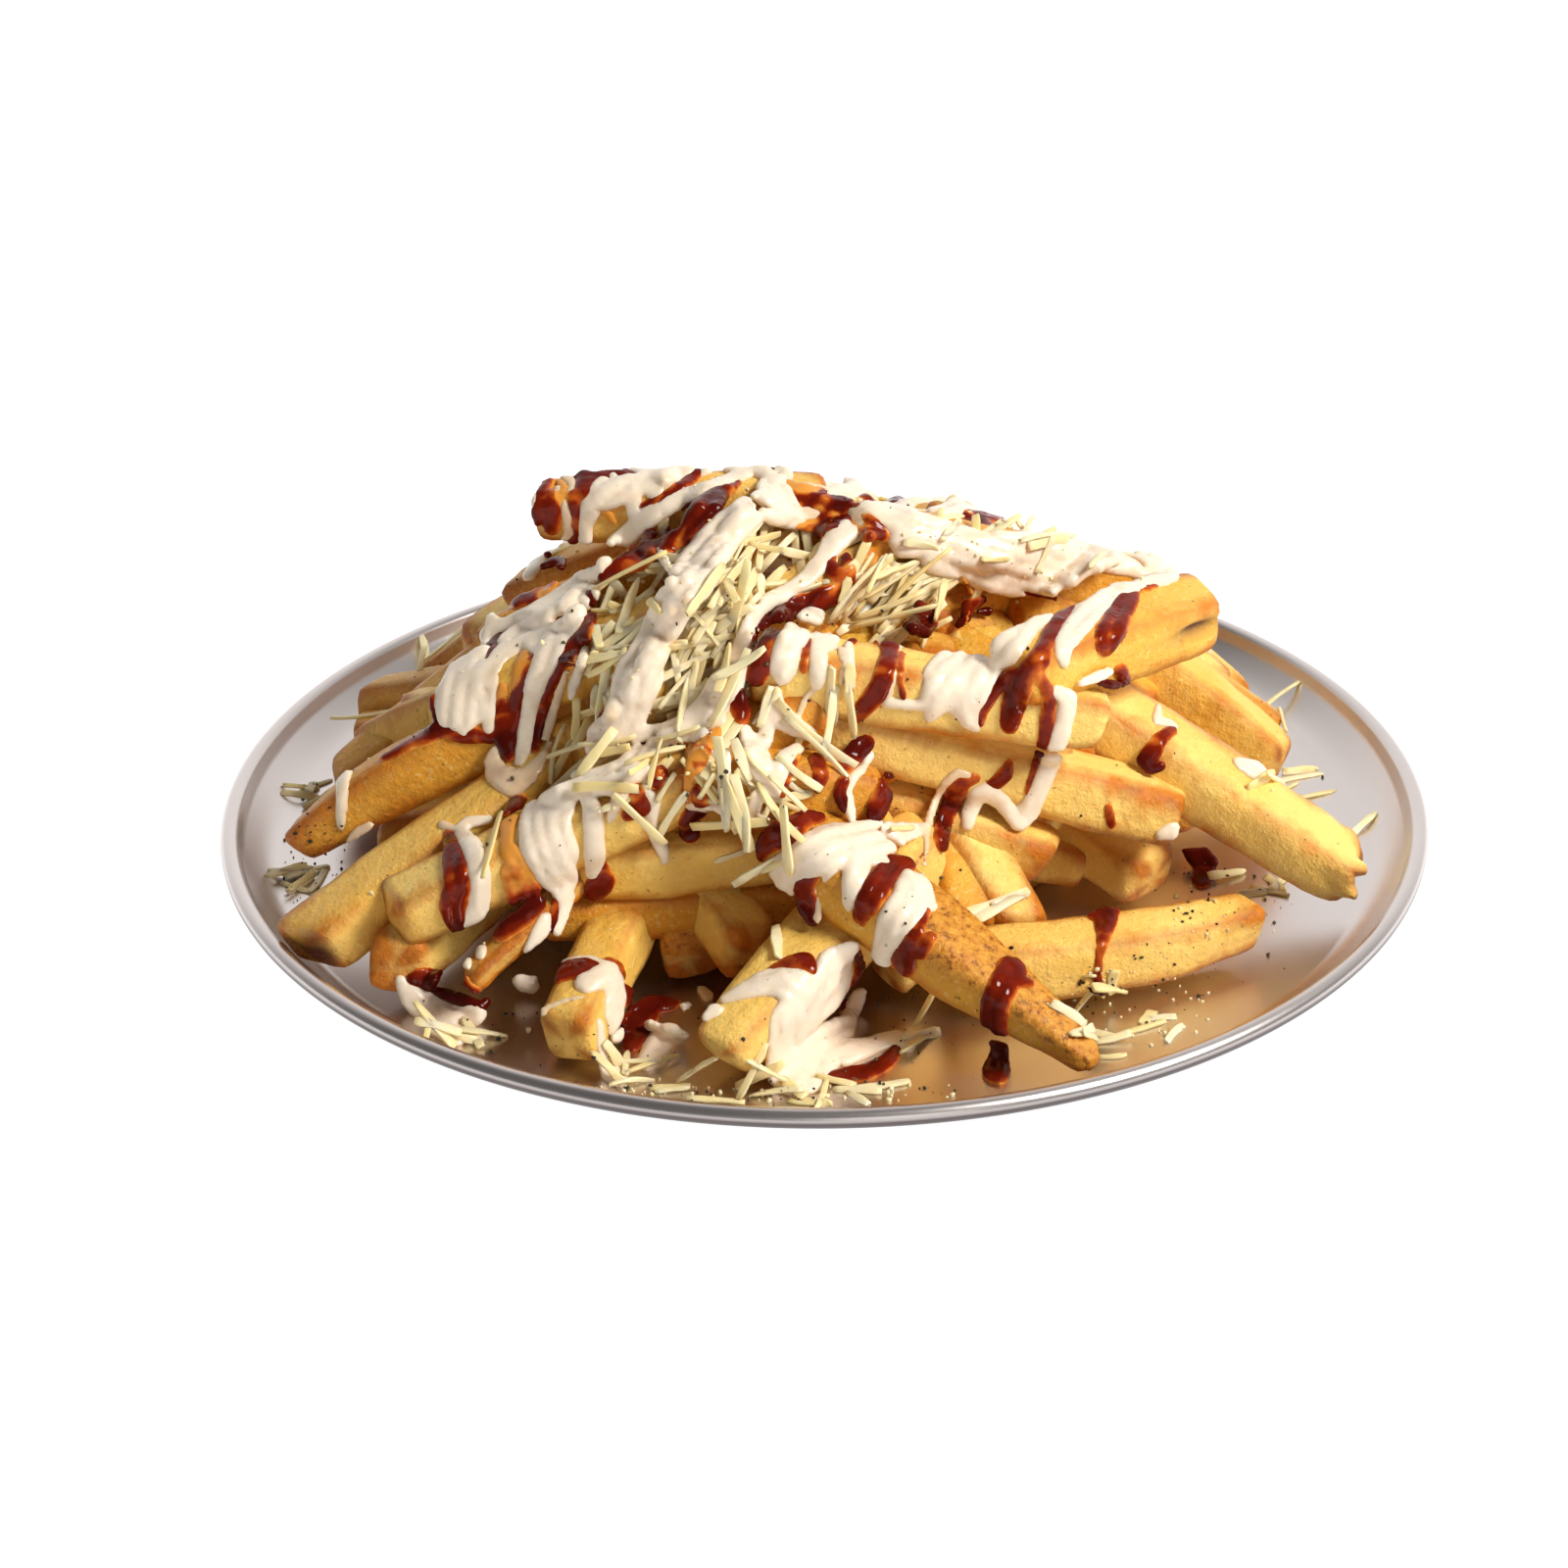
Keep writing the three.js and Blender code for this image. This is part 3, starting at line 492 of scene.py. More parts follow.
# Grated cheese: patches of it in the photograph, under the sauces and over them. Each is an
# ellipse of pixels with the direction of most of its shreds, in degrees, and how far they stray.
CHEESE_UNDER = (
    dict(middle=(668, 628), radii=(62, 66), count=56, heading=25, stray=60),
    dict(middle=(745, 585), radii=(50, 60), count=52, heading=55, stray=50),
    dict(middle=(725, 690), radii=(42, 75), count=60, heading=62, stray=35),
    dict(middle=(612, 700), radii=(35, 60), count=14, heading=65, stray=40),
    dict(middle=(900, 606), radii=(58, 30), count=52, heading=38, stray=28),
    dict(middle=(690, 540), radii=(40, 30), count=10, heading=45, stray=50),
    dict(middle=(820, 560), radii=(45, 30), count=22, heading=40, stray=60),
    dict(middle=(1000, 565), radii=(70, 20), count=28, heading=20, stray=50),
    dict(middle=(770, 790), radii=(60, 40), count=16, heading=-50, stray=60),
    dict(middle=(630, 790), radii=(50, 25), count=10, heading=20, stray=50),
)
CHEESE_OVER = (
    dict(middle=(660, 640), radii=(40, 50), count=3, heading=20, stray=70),
    dict(middle=(735, 640), radii=(36, 80), count=6, heading=58, stray=30),
    dict(middle=(640, 785), radii=(60, 26), count=8, heading=20, stray=50),
    dict(middle=(770, 810), radii=(60, 42), count=10, heading=-50, stray=60),
    dict(middle=(905, 604), radii=(55, 28), count=9, heading=38, stray=28),
    dict(middle=(1000, 556), radii=(80, 20), count=7, heading=20, stray=50),
    dict(middle=(860, 700), radii=(40, 30), count=3, heading=85, stray=20),
    dict(middle=(760, 870), radii=(50, 40), count=5, heading=60, stray=60),
    dict(middle=(790, 1114), radii=(165, 12), count=15, heading=5, stray=50, longest=11),
    dict(middle=(640, 1090), radii=(50, 16), count=5, heading=20, stray=60, longest=12),
    dict(middle=(468, 1054), radii=(36, 10), count=6, heading=-20, stray=40, longest=12),
    dict(middle=(1150, 1030), radii=(66, 38), count=11, heading=10, stray=70, longest=9),
    dict(middle=(1262, 905), radii=(46, 12), count=6, heading=20, stray=60, longest=9),
    dict(middle=(960, 1050), radii=(30, 25), count=3, heading=30, stray=70),
    dict(middle=(316, 810), radii=(14, 8), count=5, heading=20, stray=60, longest=9),
    dict(middle=(314, 898), radii=(26, 13), count=8, heading=10, stray=60, longest=10),
    dict(middle=(380, 1030), radii=(25, 10), count=2, heading=-15, stray=20),
    dict(middle=(1310, 790), radii=(36, 12), count=3, heading=20, stray=20),
)

# Single shreds in the photograph, from end to end in pixels
CHEESE_STRANDS = (
    ((1278, 742), (1326, 698)), ((1296, 748), (1318, 722)), ((1284, 806), (1350, 786)),
    ((1374, 862), (1404, 828)), ((976, 938), (1050, 908)), ((1052, 905), (990, 945)),
    ((436, 700), (430, 648)), ((448, 690), (440, 655)),
    ((330, 700), (345, 728)), ((500, 905), (505, 818)), ((848, 676), (848, 744)),
    ((776, 742), (788, 700)), ((796, 702), (768, 738)), ((868, 676), (866, 708)),
    ((790, 716), (870, 784)), ((860, 780), (800, 730)), ((622, 600), (668, 622)),
    ((640, 592), (674, 580)), ((590, 762), (650, 752)), ((700, 690), (726, 640)),
    ((716, 742), (668, 756)), ((660, 748), (716, 660)), ((950, 545), (988, 514)),
    ((1045, 560), (1092, 548)), ((880, 640), (936, 590)), ((850, 648), (905, 604)),
    ((790, 940), (796, 985)), ((900, 850), (938, 842)), ((1010, 925), (1040, 915)),
    ((620, 1112), (668, 1100)), ((700, 1122), (760, 1126)), ((850, 1112), (900, 1116)),
    ((560, 800), (585, 752)), ((576, 740), (560, 800)), ((1080, 1010), (1120, 1030)),
    ((1140, 1060), (1190, 1040)), ((1120, 1080), (1150, 1078)), ((668, 860), (700, 800)),
    ((676, 870), (640, 800)), ((742, 850), (738, 800)), ((1108, 585), (1128, 560)),
)

# Cheese that nobody sees in the photograph, dropped from above on the back and beside the heap
BACK_CHEESE = (
    dict(nearest=8, farthest=60, from_bearing=0.2, to_bearing=2.9, count=60),
    dict(nearest=84, farthest=99, from_bearing=0.0, to_bearing=3.1, count=20),
)
SHRED_LENGTH = (5, 18)
SHRED_WIDTH = (0.8, 1.9)
SHRED_THICKNESS = (0.4, 0.65)
SHRED_REACH = DISH_RADIUS - 2
SHRED_RINGS = 8
SHRED_CORNERS = ((1, 0.8), (0.82, 1), (-0.82, 1), (-1, 0.8), (-1, -0.8), (-0.82, -1), (0.82, -1), (1, -0.8))
SHRED_TILTS = 21
STEEPEST_TILT = 0.9
FACING = 0.7
CHEESE_BATCHES = 3
CHEESE_SEED = 61

# Pepper, herbs and crumbs: ellipses of pixels, and the rest strewn from above
SPECK_PATCHES = (
    dict(middle=(318, 860), radii=(36, 75), count=70),
    dict(middle=(1240, 920), radii=(80, 40), count=40),
    dict(middle=(1180, 1010), radii=(90, 50), count=45),
    dict(middle=(800, 1115), radii=(200, 16), count=40),
    dict(middle=(940, 1040), radii=(60, 45), count=24),
    dict(middle=(560, 1060), radii=(80, 30), count=20),
    dict(middle=(820, 780), radii=(330, 200), count=70),
)
STREWN_SPECKS = 150
SPECK_RADIUS = (0.1, 0.38)
CRUMB_PATCHES = (
    dict(middle=(1150, 1030), radii=(90, 45), count=60),
    dict(middle=(800, 1112), radii=(190, 16), count=60),
    dict(middle=(1250, 930), radii=(70, 30), count=24),
    dict(middle=(700, 690), radii=(120, 130), count=50),
    dict(middle=(980, 580), radii=(120, 40), count=40),
)
STREWN_CRUMBS = 60
CRUMB_RADIUS = (0.2, 0.5)
SPECK_SEED = 71


def unit(vector):
    return vector / np.linalg.norm(vector, axis=-1, keepdims=True)


def drawing_from(seed):
    """A repeatable draw from 0 to 1, the same as in the part's source."""
    state = seed

    def draw():
        nonlocal state
        state = (state * DRAW_FACTOR + DRAW_STEP) % DRAW_RANGE
        return state / DRAW_RANGE

    return draw


def mound_height(distance):
    """The height at which the middle of an outer fry lies."""
    share = min(1, distance / HEAP_RADIUS)
    return max(FLOOR + FRY / 2, HEAP_HEIGHT * (1 - share ** HEAP_FALL))


def dish_top(distance):
    """The height of the dish's upper surface, for an array of distances from its middle."""
    share = np.maximum(0, distance - WALL_FOOT) / (BEAD_MIDDLE - WALL_FOOT)
    return SHEET + BEAD_HEIGHT * share ** WALL_CURVE


def noise_at(points, size, shift=0.0):
    """Smooth noise from about -1 to 1 at each of the points."""
    offset = Vector((shift, 1.7 * shift, -0.9 * shift))
    return np.array([noise.noise(Vector(p) / size + offset) for p in points])


def new_piece(name, points, faces, material, values=None, stands_for=(), smooth=True):
    """A mesh piece from points in millimetres, with named numbers per point."""
    mesh = bpy.data.meshes.new(name)
    mesh.from_pydata((np.asarray(points) * MM).tolist(), [], [list(f) for f in faces])
    for key, numbers in (values or {}).items():
        attribute = mesh.attributes.new(key, "FLOAT", "POINT")
        attribute.data.foreach_set("value", np.asarray(numbers, np.float32))
    mesh.polygons.foreach_set("use_smooth", np.full(len(mesh.polygons), smooth))
    mesh.materials.append(material)
    piece = bpy.data.objects.new(name, mesh)
    bpy.context.scene.collection.objects.link(piece)
    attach(piece, "root")
    if stands_for:
        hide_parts(*stands_for)
    return piece


class Shapes:
    """Several shapes gathered into one mesh."""

    def __init__(self):
        self.points = []
        self.faces = []
        self.values = {}
        self.total = 0

    def add(self, points, faces, **values):
        self.points.append(np.asarray(points, float))
        self.faces.extend([[i + self.total for i in face] for face in faces])
        for key, numbers in values.items():
            self.values.setdefault(key, []).append(np.broadcast_to(numbers, len(points)))
        self.total += len(points)

    def all_points(self):
        return np.concatenate(self.points)

    def all_values(self):
        return {key: np.concatenate(parts) for key, parts in self.values.items()}


def tube_faces(rings, sides):
    """The faces of a tube of rings, whose two end points come after the last ring."""
    faces = []
    for ring in range(rings - 1):
        for side in range(sides):
            a = ring * sides + side
            b = ring * sides + (side + 1) % sides
            faces.append((a, b, b + sides, a + sides))
    first = rings * sides
    last = (rings - 1) * sides
    for side in range(sides):
        following = (side + 1) % sides
        faces.append((first, following, side))
        faces.append((first + 1, last + side, last + following))
    return faces


# The camera and its rays

view_back = np.array([0, -math.cos(ELEVATION), math.sin(ELEVATION)])
camera_place = np.array(LOOK_AT) + DISTANCE * view_back
plain_right = np.array([1.0, 0, 0])
plain_up = np.cross(view_back, plain_right)
view_right = math.cos(ROLL) * plain_right - math.sin(ROLL) * plain_up
view_up = math.sin(ROLL) * plain_right + math.cos(ROLL) * plain_up


def pixel_ray(x, y):
    """The camera's ray through a pixel of the photograph: its start and direction."""
    across = (x - IMAGE / 2) / FOCAL
    upwards = (IMAGE / 2 - y) / FOCAL
    return camera_place, unit(across * view_right + upwards * view_up - view_back)


def plan_ray(x, y):
    """A ray that drops on the point (x, y) of the plan, in millimetres."""
    return np.array([x, y, 200.0]), np.array([0, 0, -1.0])


def make_camera():
    data = bpy.data.cameras.new("camera")
    data.sensor_width = SENSOR
    data.lens = FOCAL / IMAGE * SENSOR
    camera = bpy.data.objects.new("camera", data)
    turn = Matrix((view_right, view_up, view_back)).transposed()
    camera.matrix_world = Matrix.Translation(camera_place * MM) @ turn.to_4x4()
    bpy.context.scene.collection.objects.link(camera)
    bpy.context.scene.camera = camera


# Materials

def srgb(red, green, blue):
    """A colour as seen on screen, from 0 to 255, as the linear colour that shaders use."""
    shares = [channel / 255 for channel in (red, green, blue)]
    linear = [s / 12.92 if s <= 0.04045 else ((s + 0.055) / 1.055) ** 2.4 for s in shares]
    return (*linear, 1.0)


class Shader:
    """A node material under construction."""

    def __init__(self, name):
        self.material = bpy.data.materials.new(name)
        self.material.use_nodes = True
        self.tree = self.material.node_tree
        self.surface = self.tree.nodes["Principled BSDF"]

    def add(self, kind, inputs=None, **settings):
        node = self.tree.nodes.new("ShaderNode" + kind)
        for key, value in settings.items():
            setattr(node, key, value)
        for key, value in (inputs or {}).items():
            self.put(node.inputs[key], value)
        return node

    def put(self, socket, value):
        if isinstance(value, bpy.types.NodeSocket):
            self.tree.links.new(value, socket)
        else:
            socket.default_value = value

    def principled(self, **inputs):
        for key, value in inputs.items():
            self.put(self.surface.inputs[key.replace("_", " ")], value)

    def value(self, name):
        return self.add("Attribute", attribute_name=name).outputs["Fac"]

    def place(self):
        return self.add("TexCoord").outputs["Object"]

    def noise(self, size, detail=2.0, rough=0.5, stretch=None):
        """Noise whose features are about size millimetres across."""
        place = self.place()
        if stretch:
            place = self.add("Mapping", {"Vector": place, "Scale": stretch}).outputs[0]
        inputs = {"Vector": place, "Scale": 1 / (size * MM), "Detail": detail, "Roughness": rough}
        return self.add("TexNoise", inputs).outputs["Fac"]

    def ramp(self, share, stops):
        """A colour ramp, or a ramp of numbers when the stops hold numbers."""
        node = self.add("ValToRGB", {"Fac": share})
        ramp = node.color_ramp
        while len(ramp.elements) < len(stops):
            ramp.elements.new(0.5)
        for element, (where, colour) in zip(ramp.elements, stops):
            element.position = where
            element.color = colour if isinstance(colour, tuple) else (colour,) * 3 + (1,)
        return node.outputs["Color"]

    def mix(self, share, first, second, way="MIX"):
        node = self.add("Mix", data_type="RGBA", blend_type=way)
        self.put(node.inputs["Factor"], share)
        self.put(node.inputs["A"], first)
        self.put(node.inputs["B"], second)
        return node.outputs["Result"]

    def math(self, operation, first, second=0.0, clamp=False):
        node = self.add("Math", operation=operation, use_clamp=clamp)
        self.put(node.inputs[0], first)
        self.put(node.inputs[1], second)
        return node.outputs[0]

    def bump(self, height, depth, strength=1.0, normal=None):
        """A bump of depth millimetres."""
        inputs = {"Height": height, "Distance": depth * MM, "Strength": strength}
        if normal:
            inputs["Normal"] = normal
        return self.add("Bump", inputs).outputs["Normal"]


def fried_potato():
    s = Shader("fried_potato")
    blotch = s.noise(14, 3)
    patch = s.noise(4.5, 3, 0.6)
    tone = s.math("ADD", s.math("MULTIPLY", s.value("tone"), 0.55), s.math("MULTIPLY", blotch, 0.45))
    flesh = s.ramp(tone, [
        (0.25, srgb(224, 156, 42)),
        (0.5, srgb(241, 184, 70)),
        (0.75, srgb(253, 212, 116)),
    ])
    crust = s.ramp(patch, [
        (0.3, srgb(148, 74, 8)),
        (0.6, srgb(204, 120, 20)),
    ])
    browning = s.math("ADD", s.value("crisp"), s.math("MULTIPLY", s.math("SUBTRACT", patch, 0.5), 0.9))
    share = s.ramp(browning, [(0.26, 0.0), (0.82, 1.0)])
    fleck = s.ramp(s.noise(1.0, 2, 0.6), [(0.56, 0.0), (0.72, 0.5)])
    flesh = s.mix(fleck, flesh, srgb(252, 222, 138))
    colour = s.mix(share, flesh, crust)
    speckle = s.noise(1.5, 2, 0.7)
    speckled = s.ramp(speckle, [
        (0.34, srgb(124, 66, 14)),
        (0.44, srgb(196, 124, 30)),
        (0.66, srgb(222, 158, 56)),
    ])
    colour = s.mix(s.value("skin"), colour, speckled)
    # Dark brown where a fry is burnt, and as painted shade in a split's crease.
    colour = s.mix(s.value("burn"), colour, srgb(88, 42, 16))
    dots = s.ramp(s.noise(1.1, 1, 0.5), [(0.22, 1.0), (0.27, 0.0)])
    colour = s.mix(s.math("MULTIPLY", dots, 0.6), colour, srgb(110, 66, 24))
    grain = s.noise(0.55, 3, 0.65)
    normal = s.bump(grain, 0.25, 1.0, s.bump(s.noise(1.8, 2), 0.5, 0.9))
    s.principled(
        Base_Color=colour,
        Roughness=s.ramp(grain, [(0.3, 0.34), (0.7, 0.6)]),
        Normal=normal,
        Subsurface_Weight=0.2,
        Subsurface_Radius=(1.0, 0.5, 0.15),
        Subsurface_Scale=2.0 * MM,
        Specular_IOR_Level=0.38,
    )
    return s.material


def steel():
    s = Shader("steel")
    brushed = s.noise(0.6, 2)
    cloud = s.noise(45, 2)
    # The steel is painted darker where its surface faces down, on the rim's underside and outer wall: painted shade
    # and painted dark reflection.
    upward = s.add("SeparateXYZ", {0: s.add("NewGeometry").outputs["Normal"]}).outputs["Z"]
    lit = s.ramp(s.math("ADD", s.math("MULTIPLY", upward, 0.5), 0.5), [(0.45, 0.0), (0.68, 1.0)])
    bright = s.mix(cloud, srgb(212, 203, 200), srgb(226, 218, 215))
    s.principled(
        Base_Color=s.mix(lit, srgb(104, 96, 96), bright),
        Metallic=1.0,
        Roughness=s.math("ADD", s.math("MULTIPLY", brushed, 0.05), 0.27),
    )
    return s.material


def garlic_sauce():
    s = Shader("garlic_sauce")
    cloud = s.noise(9, 3)
    colour = s.mix(cloud, srgb(243, 222, 196), srgb(250, 234, 213))
    specks = s.ramp(s.noise(1.3, 1), [(0.2, 1.0), (0.24, 0.0)])
    colour = s.mix(s.math("MULTIPLY", specks, 0.5), colour, srgb(120, 100, 60))
    edge = s.ramp(s.value("thickness"), [(0.05, 1.0), (0.5, 0.0)])
    colour = s.mix(s.math("MULTIPLY", edge, 0.4), colour, srgb(232, 188, 128))
    # Thin garlic is painted a darker, warmer beige: partly what shows through the film, partly painted shade, as
    # several thin strokes lie in shade.
    colour = s.mix(s.math("MULTIPLY", s.value("thin"), 0.45), colour, srgb(224, 178, 118))
    s.principled(
        Base_Color=colour,
        Roughness=s.ramp(s.noise(3, 2), [(0.3, 0.2), (0.7, 0.34)]),
        Normal=s.bump(s.noise(1.6, 2), 0.12, 0.5),
        Subsurface_Weight=0.4,
        Subsurface_Radius=(1.0, 0.8, 0.55),
        Subsurface_Scale=2.2 * MM,
        Specular_IOR_Level=0.5,
    )
    return s.material


def barbecue_sauce():
    s = Shader("barbecue_sauce")
    cloud = s.math("MULTIPLY", s.math("SUBTRACT", s.noise(4, 3), 0.5), 0.8)
    depth = s.math("ADD", s.value("thickness"), cloud)
    depth = s.math("SUBTRACT", depth, s.math("MULTIPLY", s.value("thin"), 0.42))
    colour = s.ramp(depth, [
        (0.0, srgb(224, 150, 62)),
        (0.16, srgb(190, 90, 28)),
        (0.36, srgb(122, 30, 8)),
        (0.8, srgb(78, 13, 5)),
    ])
    s.principled(
        Base_Color=colour,
        Roughness=s.ramp(s.noise(2.5, 2), [(0.3, 0.09), (0.7, 0.17)]),
        Normal=s.bump(s.noise(1.6, 1), 0.12, 0.5),
        Subsurface_Weight=0.15,
        Subsurface_Radius=(1.0, 0.2, 0.08),
        Subsurface_Scale=1.0 * MM,
        Specular_IOR_Level=0.14,
    )
    return s.material


def grated_cheese():
    s = Shader("grated_cheese")
    tone = s.value("tone")
    colour = s.mix(tone, srgb(245, 215, 148), srgb(252, 234, 190))
    colour = s.mix(s.ramp(s.noise(3, 2), [(0.4, 0.0), (0.8, 0.4)]), colour, srgb(240, 202, 122))
    s.principled(
        Base_Color=colour,
        Roughness=0.42,
        Normal=s.bump(s.noise(0.9, 2), 0.08, 0.6),
        Subsurface_Weight=0.5,
        Subsurface_Radius=(1.0, 0.8, 0.45),
        Subsurface_Scale=2.2 * MM,
    )
    return s.material


def pepper():
    s = Shader("pepper")
    tone = s.value("tone")
    s.principled(
        Base_Color=s.ramp(tone, [(0.2, srgb(30, 24, 18)), (0.7, srgb(66, 52, 32)), (1.0, srgb(92, 88, 48))]),
        Roughness=0.7,
        Normal=s.bump(s.noise(0.3, 2), 0.05, 0.6),
    )
    return s.material


# The dish

def dish_profile():
    """The dish's section from the middle of its underside round to the middle of its floor."""
    wall = [WALL_FOOT + (BEAD_MIDDLE - WALL_FOOT) * i / WALL_STEPS for i in range(WALL_STEPS)]
    under = [(r, 0.0) for r in FLOOR_RINGS] + [(WALL_FOOT, 0.0)]
    under += [(r, float(dish_top(r)) - SHEET) for r in wall[1:-1]]
    angles = np.linspace(BEAD_FROM, BEAD_TO, BEAD_STEPS)
    bead = [
        (BEAD_MIDDLE + BEAD_RADIUS * math.cos(a), BEAD_HEIGHT + BEAD_RADIUS * math.sin(a))
        for a in angles
    ]
    over = [(r - SHEET / 2, float(dish_top(r))) for r in reversed(wall[:-1])]
    over += [(r, SHEET) for r in reversed(FLOOR_RINGS)]
    return under + bead + over


def make_dish(material):
    profile = dish_profile()
    turns = np.arange(DISH_SIDES) * 2 * math.pi / DISH_SIDES
    points = [(r * math.cos(a), r * math.sin(a), z) for r, z in profile for a in turns]
    points += [(0, 0, 0), (0, 0, SHEET)]
    faces = tube_faces(len(profile), DISH_SIDES)
    new_piece("dish_body", points, faces, material, stands_for=["dish"])
    return points, faces


# The fries

def fry_rings(length, step):
    """The places of a fry's rings along it, close together near its ends."""
    inner = np.arange(END_RINGS[-1] + step, length - END_RINGS[-1], step)
    tail = np.array(END_RINGS, float)
    return np.concatenate([tail, inner, length - tail[::-1]])


def add_fry(shapes, fry, seed):
    """A bar of rounded square section, laid along a curve from its tail to its tip."""
    rng = np.random.default_rng(seed)
    tip = np.array(fry["tip"], float)
    tail = np.array(fry["tail"], float)
    width = fry.get("width", FRY)
    height = fry.get("height", FRY)
    straight = unit(tip - tail)
    side = unit(np.cross((0, 0, 1), straight))
    upward = np.cross(straight, side)
    middle = (tip + tail) / 2 + 2 * fry.get("bow", 0) * upward + 2 * fry.get("sway", 0) * side
    length = np.linalg.norm(tip - tail)

    along = fry_rings(length, fry.get("step", COARSE_STEP))
    share = (along / length)[:, None]
    centre = (1 - share) ** 2 * tail + 2 * share * (1 - share) * middle + share ** 2 * tip
    tangent = unit(2 * (1 - share) * (middle - tail) + 2 * share * (tip - middle))
    across = unit(np.cross((0, 0, 1), tangent))
    above = np.cross(tangent, across)

    angle = np.arange(SECTION_POINTS) * 2 * math.pi / SECTION_POINTS
    cos, sin = np.cos(angle), np.sin(angle)
    reach = (np.abs(cos) ** SECTION_POWER + np.abs(sin) ** SECTION_POWER) ** (-1 / SECTION_POWER)
    flat_x, flat_y = cos * reach, sin * reach
    corner = np.clip((reach - 1.08) / 0.13, 0, 1)
    lean = rng.uniform(-0.12, 0.12)
    twist = rng.uniform(-0.16, 0.16) + rng.uniform(-0.2, 0.2) * (share[:, 0] - 0.5)

    to_tail, to_tip = along, length - along
    to_end = np.minimum(to_tail, to_tip)
    half = (width + height) / 4
    rounding = END_ROUND - np.sqrt(np.maximum(0, END_ROUND ** 2 - np.maximum(0, END_ROUND - to_end) ** 2))
    tip_taper = fry.get("point", rng.uniform(0.78, 0.92))
    tail_taper = rng.uniform(0.75, 0.95)
    near_tip = np.clip(1 - to_tip / (TAPER_LENGTH + POINT_LENGTH * (1 - tip_taper)), 0, 1) ** 1.3
    near_tail = np.clip(1 - to_tail / TAPER_LENGTH, 0, 1) ** 1.5
    taper = 1 - (1 - tip_taper) * near_tip - (1 - tail_taper) * near_tail
    waist = 1 + 0.05 * np.sin(share[:, 0] * rng.uniform(3, 7) + rng.uniform(0, 6))
    scale = np.maximum(0.2, taper * waist - rounding / half)

    local_x = scale[:, None] * (width / 2) * (flat_x + lean * flat_y)[None, :]
    local_y = scale[:, None] * (height / 2) * flat_y[None, :]
    turned_x = np.cos(twist)[:, None] * local_x - np.sin(twist)[:, None] * local_y
    turned_y = np.sin(twist)[:, None] * local_x + np.cos(twist)[:, None] * local_y
    slant = fry.get("slant", rng.uniform(-0.4, 0.4))
    cut = np.clip(1 - to_tip / 6, 0, 1)[:, None] * (slant * local_x + rng.uniform(-0.4, 0.4) * local_y)
    cut = cut + np.clip(1 - to_tail / 6, 0, 1)[:, None] * (rng.uniform(-0.3, 0.3) * local_x)
    if fry.get("torn"):
        teeth = np.sin(5 * angle + 1) + 0.8 * np.sin(9 * angle)
        cut = cut - fry["torn"] * 1.5 * np.clip(1 - to_tip / 5, 0, 1)[:, None] * (1 + teeth)[None, :]
    ring_points = (
        centre[:, None, :]
        + turned_x[:, :, None] * across[:, None, :]
        + turned_y[:, :, None] * above[:, None, :]
        + cut[:, :, None] * tangent[:, None, :]
    )
    points = ring_points.reshape(-1, 3)
    ends = np.array([ring_points[0].mean(0) - 0.5 * tangent[0], ring_points[-1].mean(0) + 0.5 * tangent[-1]])
    shift = 37.0 * (seed % 97)
    lumps = noise_at(points, LUMP_SIZE, shift)
    grains = noise_at(points, GRAIN_SIZE, shift)
    outward = unit(points - np.repeat(centre, SECTION_POINTS, axis=0) + 1e-6)
    torn = fry.get("torn", 0) * np.repeat(np.clip(1 - to_tip / 10, 0, 1), SECTION_POINTS)
    relief = LUMP_HEIGHT * lumps + GRAIN_HEIGHT * grains + torn * 2.2 * noise_at(points, 4, shift)
    points = points + relief[:, None] * outward
    if fry.get("split"):
        gash = np.exp(-((np.repeat(to_tip, SECTION_POINTS) - 9) / 7) ** 2)
        crease = gash * np.exp(-((np.tile(flat_y, len(along)) - 0.2) / 0.22) ** 2) * (np.tile(flat_x, len(along)) < 0)
        points = points - (fry["split"] * 1.8 * crease)[:, None] * outward
    points = np.concatenate([points, ends])
    lowest = dish_top(np.hypot(points[:, 0], points[:, 1])) + GAP
    points[:, 2] = np.maximum(points[:, 2], lowest)

    rings = len(along)
    # Less browning at a cut end makes it paler: partly the end's own colour, partly painted light where the end faces
    # the front.
    pale_and_lit_end = fry.get("pale_and_lit_end", 0)
    end_crisp = (1 - pale_and_lit_end) * np.repeat(np.exp(-to_end / 3.5), SECTION_POINTS)
    edge_crisp = np.tile(corner, rings)
    wander = noise_at(points[:-2], 11, shift + 5)
    crisp = 0.5 * edge_crisp + 0.45 * end_crisp + 0.35 * fry.get("crisp", rng.uniform(0.0, 0.5)) + 0.3 * wander
    skin_side = np.tile(np.clip(flat_y * 1.5 + 0.2, 0, 1), rings)
    skin = fry.get("skin", 0.0) * np.clip(skin_side + 0.5 * wander, 0, 1)
    spot = ring_points[-1].mean(0) + 0.25 * width * across[-1] - 0.15 * height * above[-1]
    near_spot = np.exp(-(np.linalg.norm(points[:-2] - spot, axis=1) / BURN_RADIUS) ** 2)
    burn = fry.get("burn", 0.0) * np.clip(1.6 * near_spot + 0.3 * wander, 0, 1) * (near_spot > 0.1)
    # The split's crease is painted dark brown too: painted shade in the groove.
    if fry.get("split"):
        burn = np.maximum(burn, np.clip(1.2 * crease, 0, 1))
    shapes.add(
        points,
        tube_faces(rings, SECTION_POINTS),
        tone=fry.get("tone", rng.uniform(0, 1)),
        crisp=np.append(np.clip(crisp, 0, 1), [0.55, 0.55 * (1 - pale_and_lit_end)]),
        skin=np.append(skin, [0, 0]),
        burn=np.append(burn, [0, fry.get("burn", 0)]),
    )


